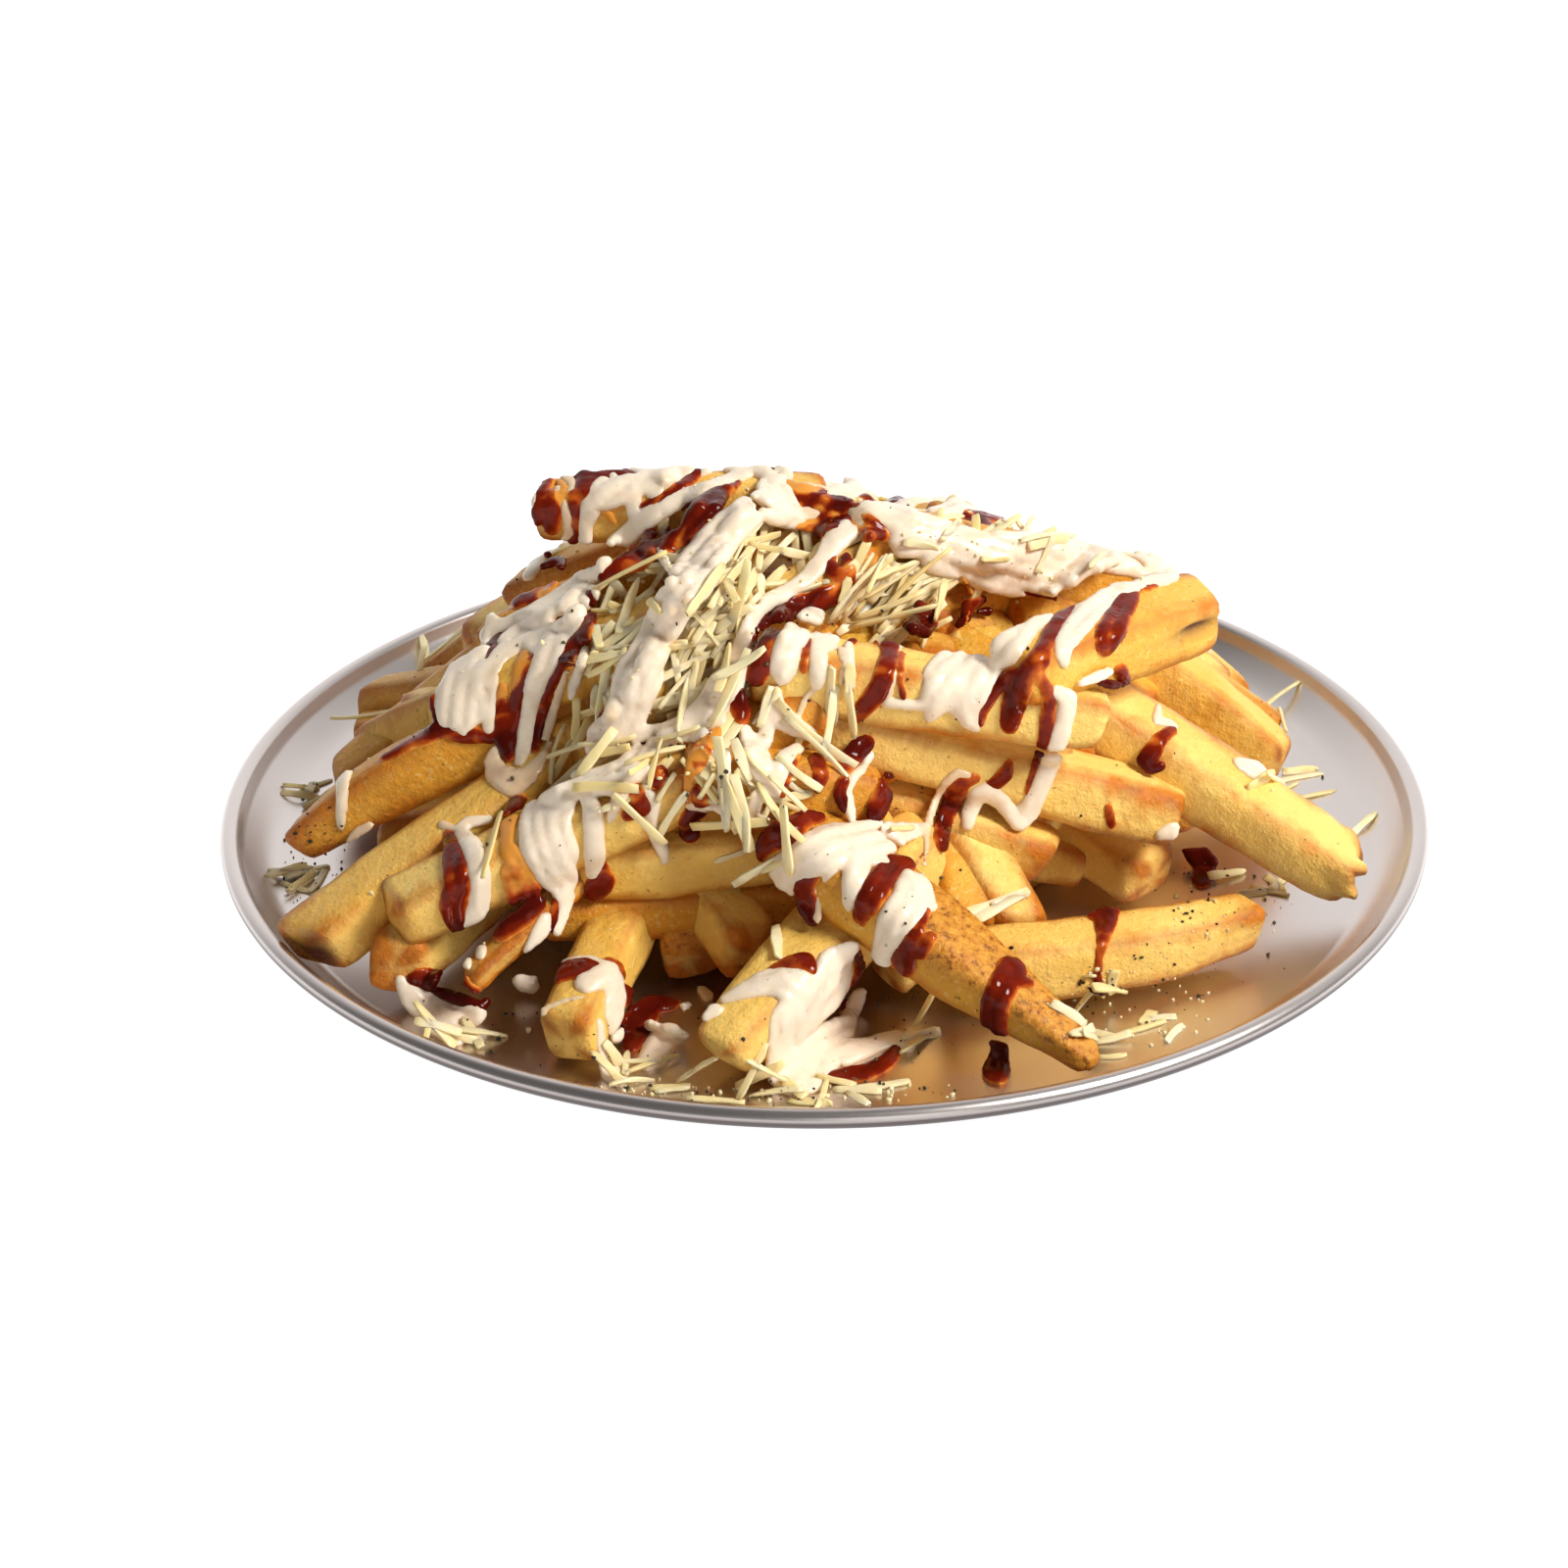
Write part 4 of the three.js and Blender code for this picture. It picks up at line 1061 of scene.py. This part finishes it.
def back_fries():
    draw = drawing_from(BACK_SEED)
    fries = []
    for ring in BACK_RINGS:
        for k in range(ring["count"]):
            share = (k + 0.2 + 0.6 * draw()) / ring["count"]
            bearing = BACK_FROM + share * (BACK_TO - BACK_FROM)
            heading = bearing + (2 * draw() - 1) * ring["turn"]
            length = BACK_SHORTEST + draw() * (BACK_LONGEST - BACK_SHORTEST)
            away = ring["reach"] * (0.94 + 0.1 * draw())
            tip = (away * math.cos(bearing), away * math.sin(bearing))
            tail = (tip[0] - length * math.cos(heading), tip[1] - length * math.sin(heading))
            fries.append(dict(
                tip=(*tip, mound_height(math.hypot(*tip))),
                tail=(*tail, mound_height(math.hypot(*tail))),
                width=FRY * (0.9 + 0.2 * draw()),
                bow=2 * draw(),
            ))
    return fries


def inner_fries():
    rng = np.random.default_rng(INNER_SEED)
    fries = []
    for ring in INNER_RINGS:
        for k in range(ring["count"]):
            bearing = 2 * math.pi * (k + rng.uniform(0, 1)) / ring["count"]
            heading = bearing + rng.uniform(-0.9, 0.9)
            length = rng.uniform(*INNER_LENGTH)
            away = ring["reach"] * rng.uniform(0.9, 1.05)
            tip = (away * math.cos(bearing), away * math.sin(bearing))
            tail = (tip[0] - length * math.cos(heading), tip[1] - length * math.sin(heading))
            height = [mound_height(math.hypot(*end)) - ring["sink"] for end in (tip, tail)]
            fries.append(dict(
                tip=(*tip, max(FLOOR + FRY / 2, height[0])),
                tail=(*tail, max(FLOOR + FRY / 2, height[1])),
            ))
    return fries


def make_fries(material):
    shapes = Shapes()
    placed = [dict(fry, step=RING_STEP) for fry in PLACED_FRIES.values()]
    fries = [*placed, *back_fries(), *inner_fries()]
    for index, fry in enumerate(fries):
        add_fry(shapes, fry, LOOK_SEED + index)
    new_piece(
        "fries", shapes.all_points(), shapes.faces, material, shapes.all_values(),
        stands_for=["fries_heap"],
    )
    return shapes.all_points(), shapes.faces


def make_core(material):
    """The inside of the heap, below the fries that show, coloured darker and browner as painted shade in its gaps."""
    sides, rings = 48, 14
    points = []
    for ring in range(rings + 1):
        r = CORE_RADIUS * (ring + 0.5) / (rings + 0.5)
        for side in range(sides):
            angle = 2 * math.pi * side / sides
            points.append((r * math.cos(angle), r * math.sin(angle), mound_height(r) - CORE_SINK))
    points = np.array(points)
    points[:, 2] += 2.5 * noise_at(points, 12)
    foot = np.array([
        (CORE_RADIUS * math.cos(a), CORE_RADIUS * math.sin(a), FLOOR)
        for a in np.arange(sides) * 2 * math.pi / sides
    ])
    caps = np.array([(0, 0, mound_height(0) - CORE_SINK), (0, 0, FLOOR)])
    points = np.concatenate([points, foot, caps]) + (0, CORE_BACK, 0)
    faces = tube_faces(rings + 2, sides)
    count = len(points)
    # A low tone and even browning make the core darker than the fries: painted shade in the gaps between them.
    new_piece(
        "heap_core", points, faces, material,
        {"tone": np.full(count, 0.3), "crisp": np.full(count, 0.5)},
        stands_for=["fries_heap"],
    )
    return points, faces


# The sauces

class Canvas:
    """A picture of cells that sauce is painted on, each with its own ray onto the heap."""

    def __init__(self, ray, low, high, cell, cell_mm, slopes, closing=CLOSING):
        self.ray = ray
        self.low = low
        self.cell = cell
        self.cell_mm = cell_mm
        self.slopes = slopes
        self.margin = int(closing / cell_mm)
        self.count = int((high - low) / cell) + 1
        self.rise = {name: np.zeros((self.count, self.count)) for name in SAUCES}
        self.thin = {name: np.zeros((self.count, self.count)) for name in SAUCES}

    def stroke(self, sauce, line, seed, thin=False):
        """Paints a line of (x, y, width), with edges that wander and ridges along it if wide."""
        line = np.array(line, float)
        steps = np.hypot(*(line[1:, :2] - line[:-1, :2]).T)
        run = np.concatenate([[0], np.cumsum(steps)])
        stations = np.arange(0, run[-1], self.cell / 2)
        x, y, width = (np.interp(stations, run, line[:, i]) for i in range(3))
        run_mm = stations / self.cell * self.cell_mm
        wander = self.wandering(run_mm, 9, seed, 0.5)
        fine = self.wandering(run_mm, 3.2, seed, 4.5)
        sway = self.wandering(run_mm, 10, seed, 8.5)
        turn = self.wandering(run_mm, 14, seed, 12.5)
        half = width / 2 * (1 + EDGE_WANDER * wander + FINE_WANDER * fine)
        x = x + sway * SWAY * width
        heading = np.stack([np.gradient(x), np.gradient(y)], 1)
        heading = unit(heading + 1e-9)
        other = SAUCES[1 - SAUCES.index(sauce)]
        scale = self.cell_mm / self.cell
        for cx, cy, r, (hx, hy), phase in zip(x, y, half, heading, turn):
            width_mm = 2 * r * scale
            rise = min(MOST_RISE[sauce], max(LEAST_RISE, RISE[sauce] * width_mm + 0.3))
            i0, i1 = (int((cy + d - self.low) / self.cell) for d in (-r, r + self.cell))
            j0, j1 = (int((cx + d - self.low) / self.cell) for d in (-r, r + self.cell))
            window = (slice(max(0, i0), i1 + 1), slice(max(0, j0), j1 + 1))
            rows, columns = np.mgrid[window]
            dx = columns * self.cell + self.low - cx
            dy = rows * self.cell + self.low - cy
            away = np.hypot(dx, dy) / r
            dome = rise * np.sqrt(np.maximum(0, 1 - away ** FLATNESS))
            if width_mm > RIPPLED_FROM:
                aside = (dy * hx - dx * hy) * scale
                ridges = np.cos(2 * math.pi * aside / RIPPLE_WIDTH + 5 * phase)
                dome *= 1 + RIPPLE * (ridges - 0.3)
            if thin:
                dome *= THIN_RISE
            higher = dome > self.rise[sauce][window]
            self.rise[sauce][window] = np.where(higher, dome, self.rise[sauce][window])
            self.thin[sauce][window] = np.where(higher, float(thin), self.thin[sauce][window])
            self.rise[other][window][away < COVERED] = 0

    def wandering(self, run, size, seed, row):
        """Smooth noise along a stroke whose swings are about size millimetres long."""
        return np.array([noise.noise(Vector((s / size, seed * 3.1, row))) for s in run])

    def drops(self, sauce, tree):
        """Where the painted sauce lies: ball centres, radii in millimetres, and how thin."""
        rise = self.rise[sauce].copy()
        for row, column in np.argwhere(rise > 0):
            place = Vector((column, row, 0.3)) * (self.cell_mm / MOTTLE_SIZE)
            rise[row, column] *= 1 + MOTTLE * noise.noise(place)
        wet = rise > THINNEST
        steps = range(-self.margin, self.margin + 1)
        near = wet.copy()
        for axis in (0, 1):
            near = np.logical_or.reduce([np.roll(near, step, axis) for step in steps])
        depth = np.full(rise.shape, np.inf)
        for row, column in np.argwhere(near):
            start, direction = self.ray(column * self.cell + self.low, row * self.cell + self.low)
            hit = tree.ray_cast(Vector(start), Vector(direction))
            if hit[0] is not None:
                depth[row, column] = hit[3]
        held = level(close_pits(depth, self.margin))
        for _ in range(HELD_STEPS):
            for axis, slope in enumerate(self.slopes):
                for step in (1, -1):
                    moved = np.roll(held, step, axis) + slope * self.cell_mm
                    held = np.where(wet, np.minimum(held, moved), held)
        balls = []
        for row, column in np.argwhere(wet & np.isfinite(depth) & (depth - held < DEEPEST_SAG)):
            start, direction = self.ray(column * self.cell + self.low, row * self.cell + self.low)
            centre = start + direction * held[row, column]
            centre[2] = max(centre[2], SAUCE_FLOOR + dish_top(math.hypot(centre[0], centre[1])))
            balls.append((*centre, rise[row, column], self.thin[sauce][row, column]))
        return balls


def close_pits(depth, margin):
    """The depths without their pits that are narrower than twice the margin."""
    steps = range(-margin, margin + 1)
    nearest = depth
    for axis in (0, 1):
        nearest = np.minimum.reduce([np.roll(nearest, step, axis) for step in steps])
    for axis in (0, 1):
        nearest = np.maximum.reduce([np.roll(nearest, step, axis) for step in steps])
    return np.minimum(nearest, depth)


def level(depth):
    """The depths, each blended with its neighbours that are nearly as deep."""
    total = np.zeros(depth.shape)
    count = np.zeros(depth.shape)
    for down in range(-LEVELLING, LEVELLING + 1):
        for across in range(-LEVELLING, LEVELLING + 1):
            other = np.roll(depth, (down, across), (0, 1))
            with np.errstate(invalid="ignore"):
                close = np.abs(other - depth) < LEVEL_STEP
            total += np.where(close, other, 0)
            count += close
    return np.where(count > 0, total / np.maximum(count, 1), depth)


def drizzle(canvas, rule):
    """Swings a sauce back and forth across the back of the heap."""
    rng = np.random.default_rng(rule["seed"])
    swing = unit(np.array(rule["swing"], float))
    across = np.array([swing[1], -swing[0]])
    for line in range(rule["lines"]):
        aside = rule["offset"] + (line - (rule["lines"] - 1) / 2) * rule["spacing"]
        longest = math.sqrt(max(0, DRIZZLE_REACH ** 2 - aside ** 2))
        points = []
        for run in np.arange(-longest, longest, 7):
            place = aside * across + run * swing + rng.uniform(-2.2, 2.2) * across
            if place[1] > DRIZZLE_FROM:
                points.append((*place, rule["width"] * rng.uniform(0.55, 1.35)))
        if len(points) > 1:
            canvas.stroke(rule["sauce"], points, rule["seed"] + line)


def ball_blend(name, balls, voxel):
    """One smooth skin round all the balls, as a mesh in metres."""
    mesh = bpy.data.meshes.new(name)
    balls = np.array(balls)
    mesh.from_pydata((balls[:, :3] * MM).tolist(), [], [])
    radius = mesh.attributes.new("radius", "FLOAT", "POINT")
    radius.data.foreach_set("value", ((balls[:, 3] + SAUCE_SWELL) * MM).astype(np.float32))
    source = bpy.data.objects.new(name + "_balls", mesh)
    bpy.context.scene.collection.objects.link(source)

    tree = bpy.data.node_groups.new(name + "_skin", "GeometryNodeTree")
    tree.interface.new_socket("Geometry", in_out="INPUT", socket_type="NodeSocketGeometry")
    tree.interface.new_socket("Geometry", in_out="OUTPUT", socket_type="NodeSocketGeometry")
    start = tree.nodes.new("NodeGroupInput")
    points = tree.nodes.new("GeometryNodeMeshToPoints")
    named = tree.nodes.new("GeometryNodeInputNamedAttribute")
    named.data_type = "FLOAT"
    named.inputs["Name"].default_value = "radius"
    volume = tree.nodes.new("GeometryNodePointsToVolume")
    volume.resolution_mode = "VOXEL_SIZE"
    volume.inputs["Voxel Size"].default_value = voxel * MM
    skin = tree.nodes.new("GeometryNodeVolumeToMesh")
    skin.resolution_mode = "VOXEL_SIZE"
    skin.inputs["Voxel Size"].default_value = voxel * MM
    skin.inputs["Threshold"].default_value = 0.1
    end = tree.nodes.new("NodeGroupOutput")
    link = tree.links.new
    link(start.outputs[0], points.inputs["Mesh"])
    link(named.outputs["Attribute"], points.inputs["Radius"])
    link(points.outputs[0], volume.inputs["Points"])
    link(named.outputs["Attribute"], volume.inputs["Radius"])
    link(volume.outputs[0], skin.inputs["Volume"])
    link(skin.outputs[0], end.inputs[0])
    source.modifiers.new("skin", "NODES").node_group = tree
    smooth = source.modifiers.new("smooth", "SMOOTH")
    smooth.factor = 0.5
    smooth.iterations = SAUCE_SMOOTHING
    result = evaluated_mesh(source)
    source.modifiers.clear()
    bpy.data.objects.remove(source)
    return result


def evaluated_mesh(source):
    graph = bpy.context.evaluated_depsgraph_get()
    return bpy.data.meshes.new_from_object(source.evaluated_get(graph))


def mesh_arrays(mesh):
    """A mesh's points, in millimetres, and its faces."""
    points = np.empty(len(mesh.vertices) * 3)
    mesh.vertices.foreach_get("co", points)
    return points.reshape(-1, 3) / MM, [tuple(face.vertices) for face in mesh.polygons]


def make_sauce(name, balls, tree, material):
    mesh = ball_blend(name, balls, SAUCE_VOXEL)
    holder = bpy.data.objects.new(name + "_skin", mesh)
    bpy.context.scene.collection.objects.link(holder)
    triangles = sum(len(face.vertices) - 2 for face in mesh.polygons)
    if triangles > SAUCE_TRIANGLES:
        thin = holder.modifiers.new("thin", "DECIMATE")
        thin.ratio = SAUCE_TRIANGLES / triangles
        mesh = evaluated_mesh(holder)
    points, faces = mesh_arrays(mesh)
    normals = np.array([tuple(vertex.normal) for vertex in mesh.vertices])
    points = points + SAUCE_FOLD * noise_at(points, SAUCE_FOLD_SIZE)[:, None] * normals
    bpy.data.objects.remove(holder)
    thickness = []
    thin = []
    near_balls = KDTree(len(balls))
    for index, ball in enumerate(balls):
        near_balls.insert(ball[:3], index)
    near_balls.balance()
    for point in points:
        place, normal, _, away = tree.find_nearest(Vector(point))
        outside = (Vector(point) - place).dot(normal) > 0
        thickness.append(away / THICK if outside else 0)
        found = near_balls.find_n(Vector(point), THIN_NEIGHBOURS)
        thin.append(sum(balls[index][4] for _, index, _ in found) / THIN_NEIGHBOURS)
    points[:, 2] = np.clip(points[:, 2], LOWEST_SAUCE, HIGHEST)
    new_piece(
        name, points, faces, material, {"thickness": np.minimum(1, thickness), "thin": np.array(thin)},
        stands_for=["fries_heap"],
    )
    return points, faces


def make_sauces(tree):
    cell_mm = CELL * DISTANCE / FOCAL
    photo = Canvas(pixel_ray, 0, IMAGE, CELL, cell_mm, HELD_SLOPE)
    far = Canvas(pixel_ray, 0, IMAGE, CELL, cell_mm, FREE_SLOPE, closing=0)
    for canvas, strokes in ((photo, STROKES), (far, FAR_STROKES)):
        for index, (sauce, *line) in enumerate(strokes):
            canvas.stroke(sauce.removeprefix("thin "), line, index, sauce.startswith("thin "))
    plan = Canvas(plan_ray, -PLAN_HALF, PLAN_HALF, PLAN_CELL, PLAN_CELL, PLAN_SLOPE)
    for rule in DRIZZLES:
        drizzle(plan, rule)
    made = []
    for name, material in (("garlic", garlic_sauce()), ("barbecue", barbecue_sauce())):
        balls = [ball for canvas in (photo, far, plan) for ball in canvas.drops(name, tree)]
        made.append(make_sauce(name + "_sauce", balls, tree, material))
    return made


def tree_of(*pieces):
    """A ray-casting tree of several pieces' points and faces, in millimetres."""
    points, faces = [], []
    for piece_points, piece_faces in pieces:
        faces += [[i + len(points) for i in face] for face in piece_faces]
        points += [tuple(p) for p in piece_points]
    return BVHTree.FromPolygons(points, faces)


# The cheese

def landing(tree, ray):
    """Where a ray meets the heap: the place and the way the surface faces there."""
    start, direction = ray
    place, normal, _, _ = tree.ray_cast(Vector(start), Vector(direction))
    if place is None:
        return None, None
    normal = np.array(normal)
    if normal @ direction > 0:
        normal = -normal
    return np.array(place), normal


def lay_shred(tree, place, normal, along, length):
    """Lays a straight line of that length on what is under it, touching but not cutting it."""
    side = np.cross(normal, along)
    stations = np.linspace(-length / 2, length / 2, 9)
    heights = []
    for station in stations:
        start = place + station * along + 9 * normal
        hit = tree.ray_cast(Vector(start), Vector(-normal), 16)
        heights.append(9 - hit[3] if hit[0] is not None else -7)
    heights = np.array(heights)
    best = None
    for tilt in np.linspace(-STEEPEST_TILT, STEEPEST_TILT, SHRED_TILTS):
        base = np.max(heights - tilt * stations)
        cost = base - np.mean(heights - tilt * stations)
        if best is None or cost < best[0]:
            best = (cost, tilt, base)
    _, tilt, base = best
    return place + base * normal, unit(along + tilt * normal), side


def add_shred(shapes, rng, middle, along, side, length):
    """A thin flat strip of cheese, slightly bent, with torn ends."""
    normal = np.cross(along, side)
    width = rng.uniform(*SHRED_WIDTH)
    thickness = rng.uniform(*SHRED_THICKNESS)
    bend = rng.normal(0, 0.028) * length
    droop = rng.uniform(-0.05, 0.02) * length
    twist = rng.uniform(-0.7, 0.7)
    roll = rng.uniform(-0.5, 0.5)
    ends = rng.uniform(0.55, 1.0, 2)
    flat = np.array(SHRED_CORNERS) * (width / 2, thickness / 2)
    points = []
    for share in np.linspace(0, 1, SHRED_RINGS):
        off = 2 * share - 1
        centre = middle + off * length / 2 * along
        centre = centre + bend * (off ** 2 - 0.4) * side + (thickness / 2 + droop * (off ** 2 - 0.5)) * normal
        taper = 1 - (1 - ends[0]) * max(0, 1 - share / 0.15) - (1 - ends[1]) * max(0, (share - 0.85) / 0.15)
        taper *= 1 + 0.1 * math.sin(9 * share + 5 * roll)
        turn = roll + twist * off
        x = flat[:, 0] * taper * math.cos(turn) - flat[:, 1] * math.sin(turn)
        y = flat[:, 0] * taper * math.sin(turn) + flat[:, 1] * math.cos(turn)
        points.extend(centre + x[:, None] * side + y[:, None] * normal)
    points.append(middle - (length / 2) * along + (thickness / 2) * normal + 0.6 * bend * side)
    points.append(middle + (length / 2) * along + (thickness / 2) * normal + 0.6 * bend * side)
    points = np.array(points)
    lowest = dish_top(np.hypot(points[:, 0], points[:, 1])) + 0.05
    points[:, 2] = np.clip(points[:, 2], lowest, HIGHEST)
    shapes.add(points, tube_faces(SHRED_RINGS, len(SHRED_CORNERS)), tone=rng.uniform(0, 1))


def photo_shreds(rng, patches):
    """Places and headings of the patches' shreds: a pixel, and a second one further along."""
    for patch in patches:
        for _ in range(patch["count"]):
            angle, away = rng.uniform(0, 2 * math.pi), math.sqrt(rng.uniform(0, 1))
            x = patch["middle"][0] + patch["radii"][0] * away * math.cos(angle)
            y = patch["middle"][1] + patch["radii"][1] * away * math.sin(angle)
            heading = math.radians(patch["heading"] + rng.normal(0, patch["stray"] * 0.6))
            further = pixel_ray(x + 20 * math.cos(heading), y - 20 * math.sin(heading))
            yield pixel_ray(x, y), further, rng.uniform(SHRED_LENGTH[0], patch.get("longest", SHRED_LENGTH[1]))


def back_shreds(rng):
    for rule in BACK_CHEESE:
        for _ in range(rule["count"]):
            bearing = rng.uniform(rule["from_bearing"], rule["to_bearing"])
            away = rng.uniform(rule["nearest"], rule["farthest"])
            x, y = away * math.cos(bearing), away * math.sin(bearing)
            heading = rng.uniform(0, 2 * math.pi)
            further = plan_ray(x + math.cos(heading), y + math.sin(heading))
            yield plan_ray(x, y), further, rng.uniform(*SHRED_LENGTH)


def shred_line(tree, rays):
    """A place on the heap and the direction of a shred there, from two neighbouring rays."""
    place, normal = landing(tree, rays[0])
    if place is None:
        return None
    facing = -rays[0][1]
    normal = unit(normal + FACING * facing)
    start, direction = rays[1]
    second = start + direction * ((place - start) @ normal) / (direction @ normal)
    return place, normal, unit(second - place)


def inside_rim(middle, along, length):
    """Whether a shred lies within the dish's rim."""
    ends = (middle - length / 2 * along, middle + length / 2 * along)
    return all(math.hypot(end[0], end[1]) < SHRED_REACH for end in ends)


def lay_layers(shapes, rng, rays, solid, batches):
    """Lays a shred at each ray, in batches that each lie on the ones before."""
    order = rng.permutation(len(rays))
    for batch in np.array_split(order, batches):
        tree = tree_of(*solid, *([(shapes.all_points(), shapes.faces)] if shapes.total else []))
        for index in batch:
            found = shred_line(tree, rays[index])
            if found is None:
                continue
            place, normal, along = found
            length = rays[index][2]
            if inside_rim(place, along, length):
                add_shred(shapes, rng, *lay_shred(tree, place, normal, along, length), length)


def lay_strand(shapes, rng, tree, first, last):
    """Lays a shred that reaches from one pixel to another."""
    place, normal = landing(tree, pixel_ray((first[0] + last[0]) / 2, (first[1] + last[1]) / 2))
    if place is None:
        return
    normal = unit(normal + FACING * view_back)
    ends = []
    for pixel in (first, last):
        start, direction = pixel_ray(*pixel)
        ends.append(start + direction * ((place - start) @ normal) / (direction @ normal))
    length = np.linalg.norm(ends[1] - ends[0])
    along = (ends[1] - ends[0]) / length
    if inside_rim(place, along, length):
        add_shred(shapes, rng, *lay_shred(tree, place, normal, along, length), length)


def cheese_under(solid):
    """The cheese that fell before the sauces were poured."""
    rng = np.random.default_rng(CHEESE_SEED)
    shapes = Shapes()
    rays = [*photo_shreds(rng, CHEESE_UNDER), *back_shreds(rng)]
    lay_layers(shapes, rng, rays, solid, CHEESE_BATCHES)
    return shapes


def make_cheese(shapes, material, solid):
    """The cheese on the sauces, single shreds and crumbs, in one piece with what lies under."""
    rng = np.random.default_rng(CHEESE_SEED + 1)
    lay_layers(shapes, rng, [*photo_shreds(rng, CHEESE_OVER)], solid, 2)
    tree = tree_of(*solid)
    for first, last in CHEESE_STRANDS:
        lay_strand(shapes, rng, tree, first, last)
    add_specks(shapes, tree, rng, CRUMB_PATCHES, STREWN_CRUMBS, CRUMB_RADIUS)
    new_piece(
        "cheese_shreds", shapes.all_points(), shapes.faces, material, shapes.all_values(),
        stands_for=["fries_heap"],
    )
    return shapes.all_points(), shapes.faces


# Pepper, herbs and crumbs

def speck_shape():
    """The twelve corners and twenty faces of a small round lump."""
    golden = (1 + 5 ** 0.5) / 2
    corners = []
    for a in (-1, 1):
        for b in (-golden, golden):
            corners += [(0, a, b), (a, b, 0), (b, 0, a)]
    corners = np.array(corners) / math.hypot(1, golden)
    edge = min(np.linalg.norm(corners[0] - c) for c in corners[1:]) * 1.01
    faces = []
    for i in range(12):
        for j in range(i + 1, 12):
            for k in range(j + 1, 12):
                a, b, c = corners[i], corners[j], corners[k]
                if max(np.linalg.norm(a - b), np.linalg.norm(b - c), np.linalg.norm(c - a)) < edge:
                    faces.append((i, j, k) if np.cross(b - a, c - a) @ a > 0 else (i, k, j))
    return corners, faces


SPECK_CORNERS, SPECK_FACES = speck_shape()


def add_specks(shapes, tree, rng, patches, strewn, radii):
    rays = []
    for patch in patches:
        for _ in range(patch["count"]):
            angle, away = rng.uniform(0, 2 * math.pi), math.sqrt(rng.uniform(0, 1))
            x = patch["middle"][0] + patch["radii"][0] * away * math.cos(angle)
            y = patch["middle"][1] + patch["radii"][1] * away * math.sin(angle)
            rays.append(pixel_ray(x, y))
    for _ in range(strewn):
        bearing, away = rng.uniform(0, 2 * math.pi), 102 * math.sqrt(rng.uniform(0, 1))
        rays.append(plan_ray(away * math.cos(bearing), away * math.sin(bearing)))
    for ray in rays:
        radius = radii[0] + (radii[1] - radii[0]) * rng.uniform(0, 1) ** 2
        stretch = rng.uniform(0.6, 1.4, 3) * radius
        corners = SPECK_CORNERS * rng.uniform(0.7, 1.25, (12, 1)) * stretch
        place, normal = landing(tree, ray)
        if place is not None and math.hypot(place[0], place[1]) < WALL_FOOT:
            place = place + 0.5 * min(stretch) * normal
            shapes.add(corners + place, SPECK_FACES, tone=rng.uniform(0, 1))


def make_pepper(material, solid):
    shapes = Shapes()
    rng = np.random.default_rng(SPECK_SEED)
    add_specks(shapes, tree_of(*solid), rng, SPECK_PATCHES, STREWN_SPECKS, SPECK_RADIUS)
    new_piece(
        "pepper_specks", shapes.all_points(), shapes.faces, material, shapes.all_values(),
        stands_for=["fries_heap"], smooth=False,
    )


# The stage: a pale floor and soft light, brighter from the back

WORLD_FRONT = 0.12
WORLD_BACK = 1.05


def make_stage():
    mesh = bpy.data.meshes.new("floor")
    half = 4.0
    mesh.from_pydata([(-half, -half, 0), (half, -half, 0), (half, half, 0), (-half, half, 0)], [], [(0, 1, 2, 3)])
    s = Shader("floor")
    s.principled(
        Base_Color=(0.25, 0.25, 0.25, 1), Roughness=0.9, Specular_IOR_Level=0.1,
        Emission_Color=(1, 1, 1, 1), Emission_Strength=0.98,
    )
    mesh.materials.append(s.material)
    floor = bpy.data.objects.new("floor", mesh)
    bpy.context.scene.collection.objects.link(floor)

    world = bpy.data.worlds.new("studio")
    world.use_nodes = True
    tree = world.node_tree
    background = tree.nodes["Background"]
    background.inputs["Color"].default_value = (1.0, 0.985, 0.97, 1)
    sky = tree.nodes.new("ShaderNodeTexCoord")
    split = tree.nodes.new("ShaderNodeSeparateXYZ")
    fade = tree.nodes.new("ShaderNodeMapRange")
    fade.interpolation_type = "SMOOTHSTEP"
    fade.inputs["From Min"].default_value = 0.0
    fade.inputs["From Max"].default_value = 0.95
    fade.inputs["To Min"].default_value = WORLD_FRONT
    fade.inputs["To Max"].default_value = WORLD_BACK
    tree.links.new(sky.outputs["Generated"], split.inputs[0])
    tree.links.new(split.outputs["Y"], fade.inputs["Value"])
    tree.links.new(fade.outputs[0], background.inputs["Strength"])
    bpy.context.scene.world = world
    bpy.context.scene.view_settings.view_transform = "Standard"

    lights = {
        "key": dict(place=(0.66, -0.38, 0.73), size=0.34, power=12.5, colour=(1.0, 0.97, 0.93)),
        "fill": dict(place=(0.2, -1.0, 0.3), size=0.5, power=0.7, colour=(1.0, 0.98, 0.95)),
    }
    for name, light in lights.items():
        data = bpy.data.lights.new(name, "AREA")
        data.shape = "DISK"
        data.size = light["size"]
        data.energy = light["power"]
        data.color = light["colour"]
        lamp = bpy.data.objects.new(name, data)
        place = Vector(light["place"])
        lamp.matrix_world = Matrix.Translation(place) @ (place - Vector((0, 0, 0.03))).to_track_quat("Z", "Y").to_matrix().to_4x4()
        bpy.context.scene.collection.objects.link(lamp)


make_camera()
make_stage()
dish = make_dish(steel())
potato = fried_potato()
fries = make_fries(potato)
core = make_core(potato)
cheese_shapes = cheese_under([fries, core, dish])
sauces = make_sauces(tree_of(fries, core, dish, (cheese_shapes.all_points(), cheese_shapes.faces)))
cheese = make_cheese(cheese_shapes, grated_cheese(), [fries, core, dish, *sauces])
make_pepper(pepper(), [fries, core, dish, *sauces, cheese])
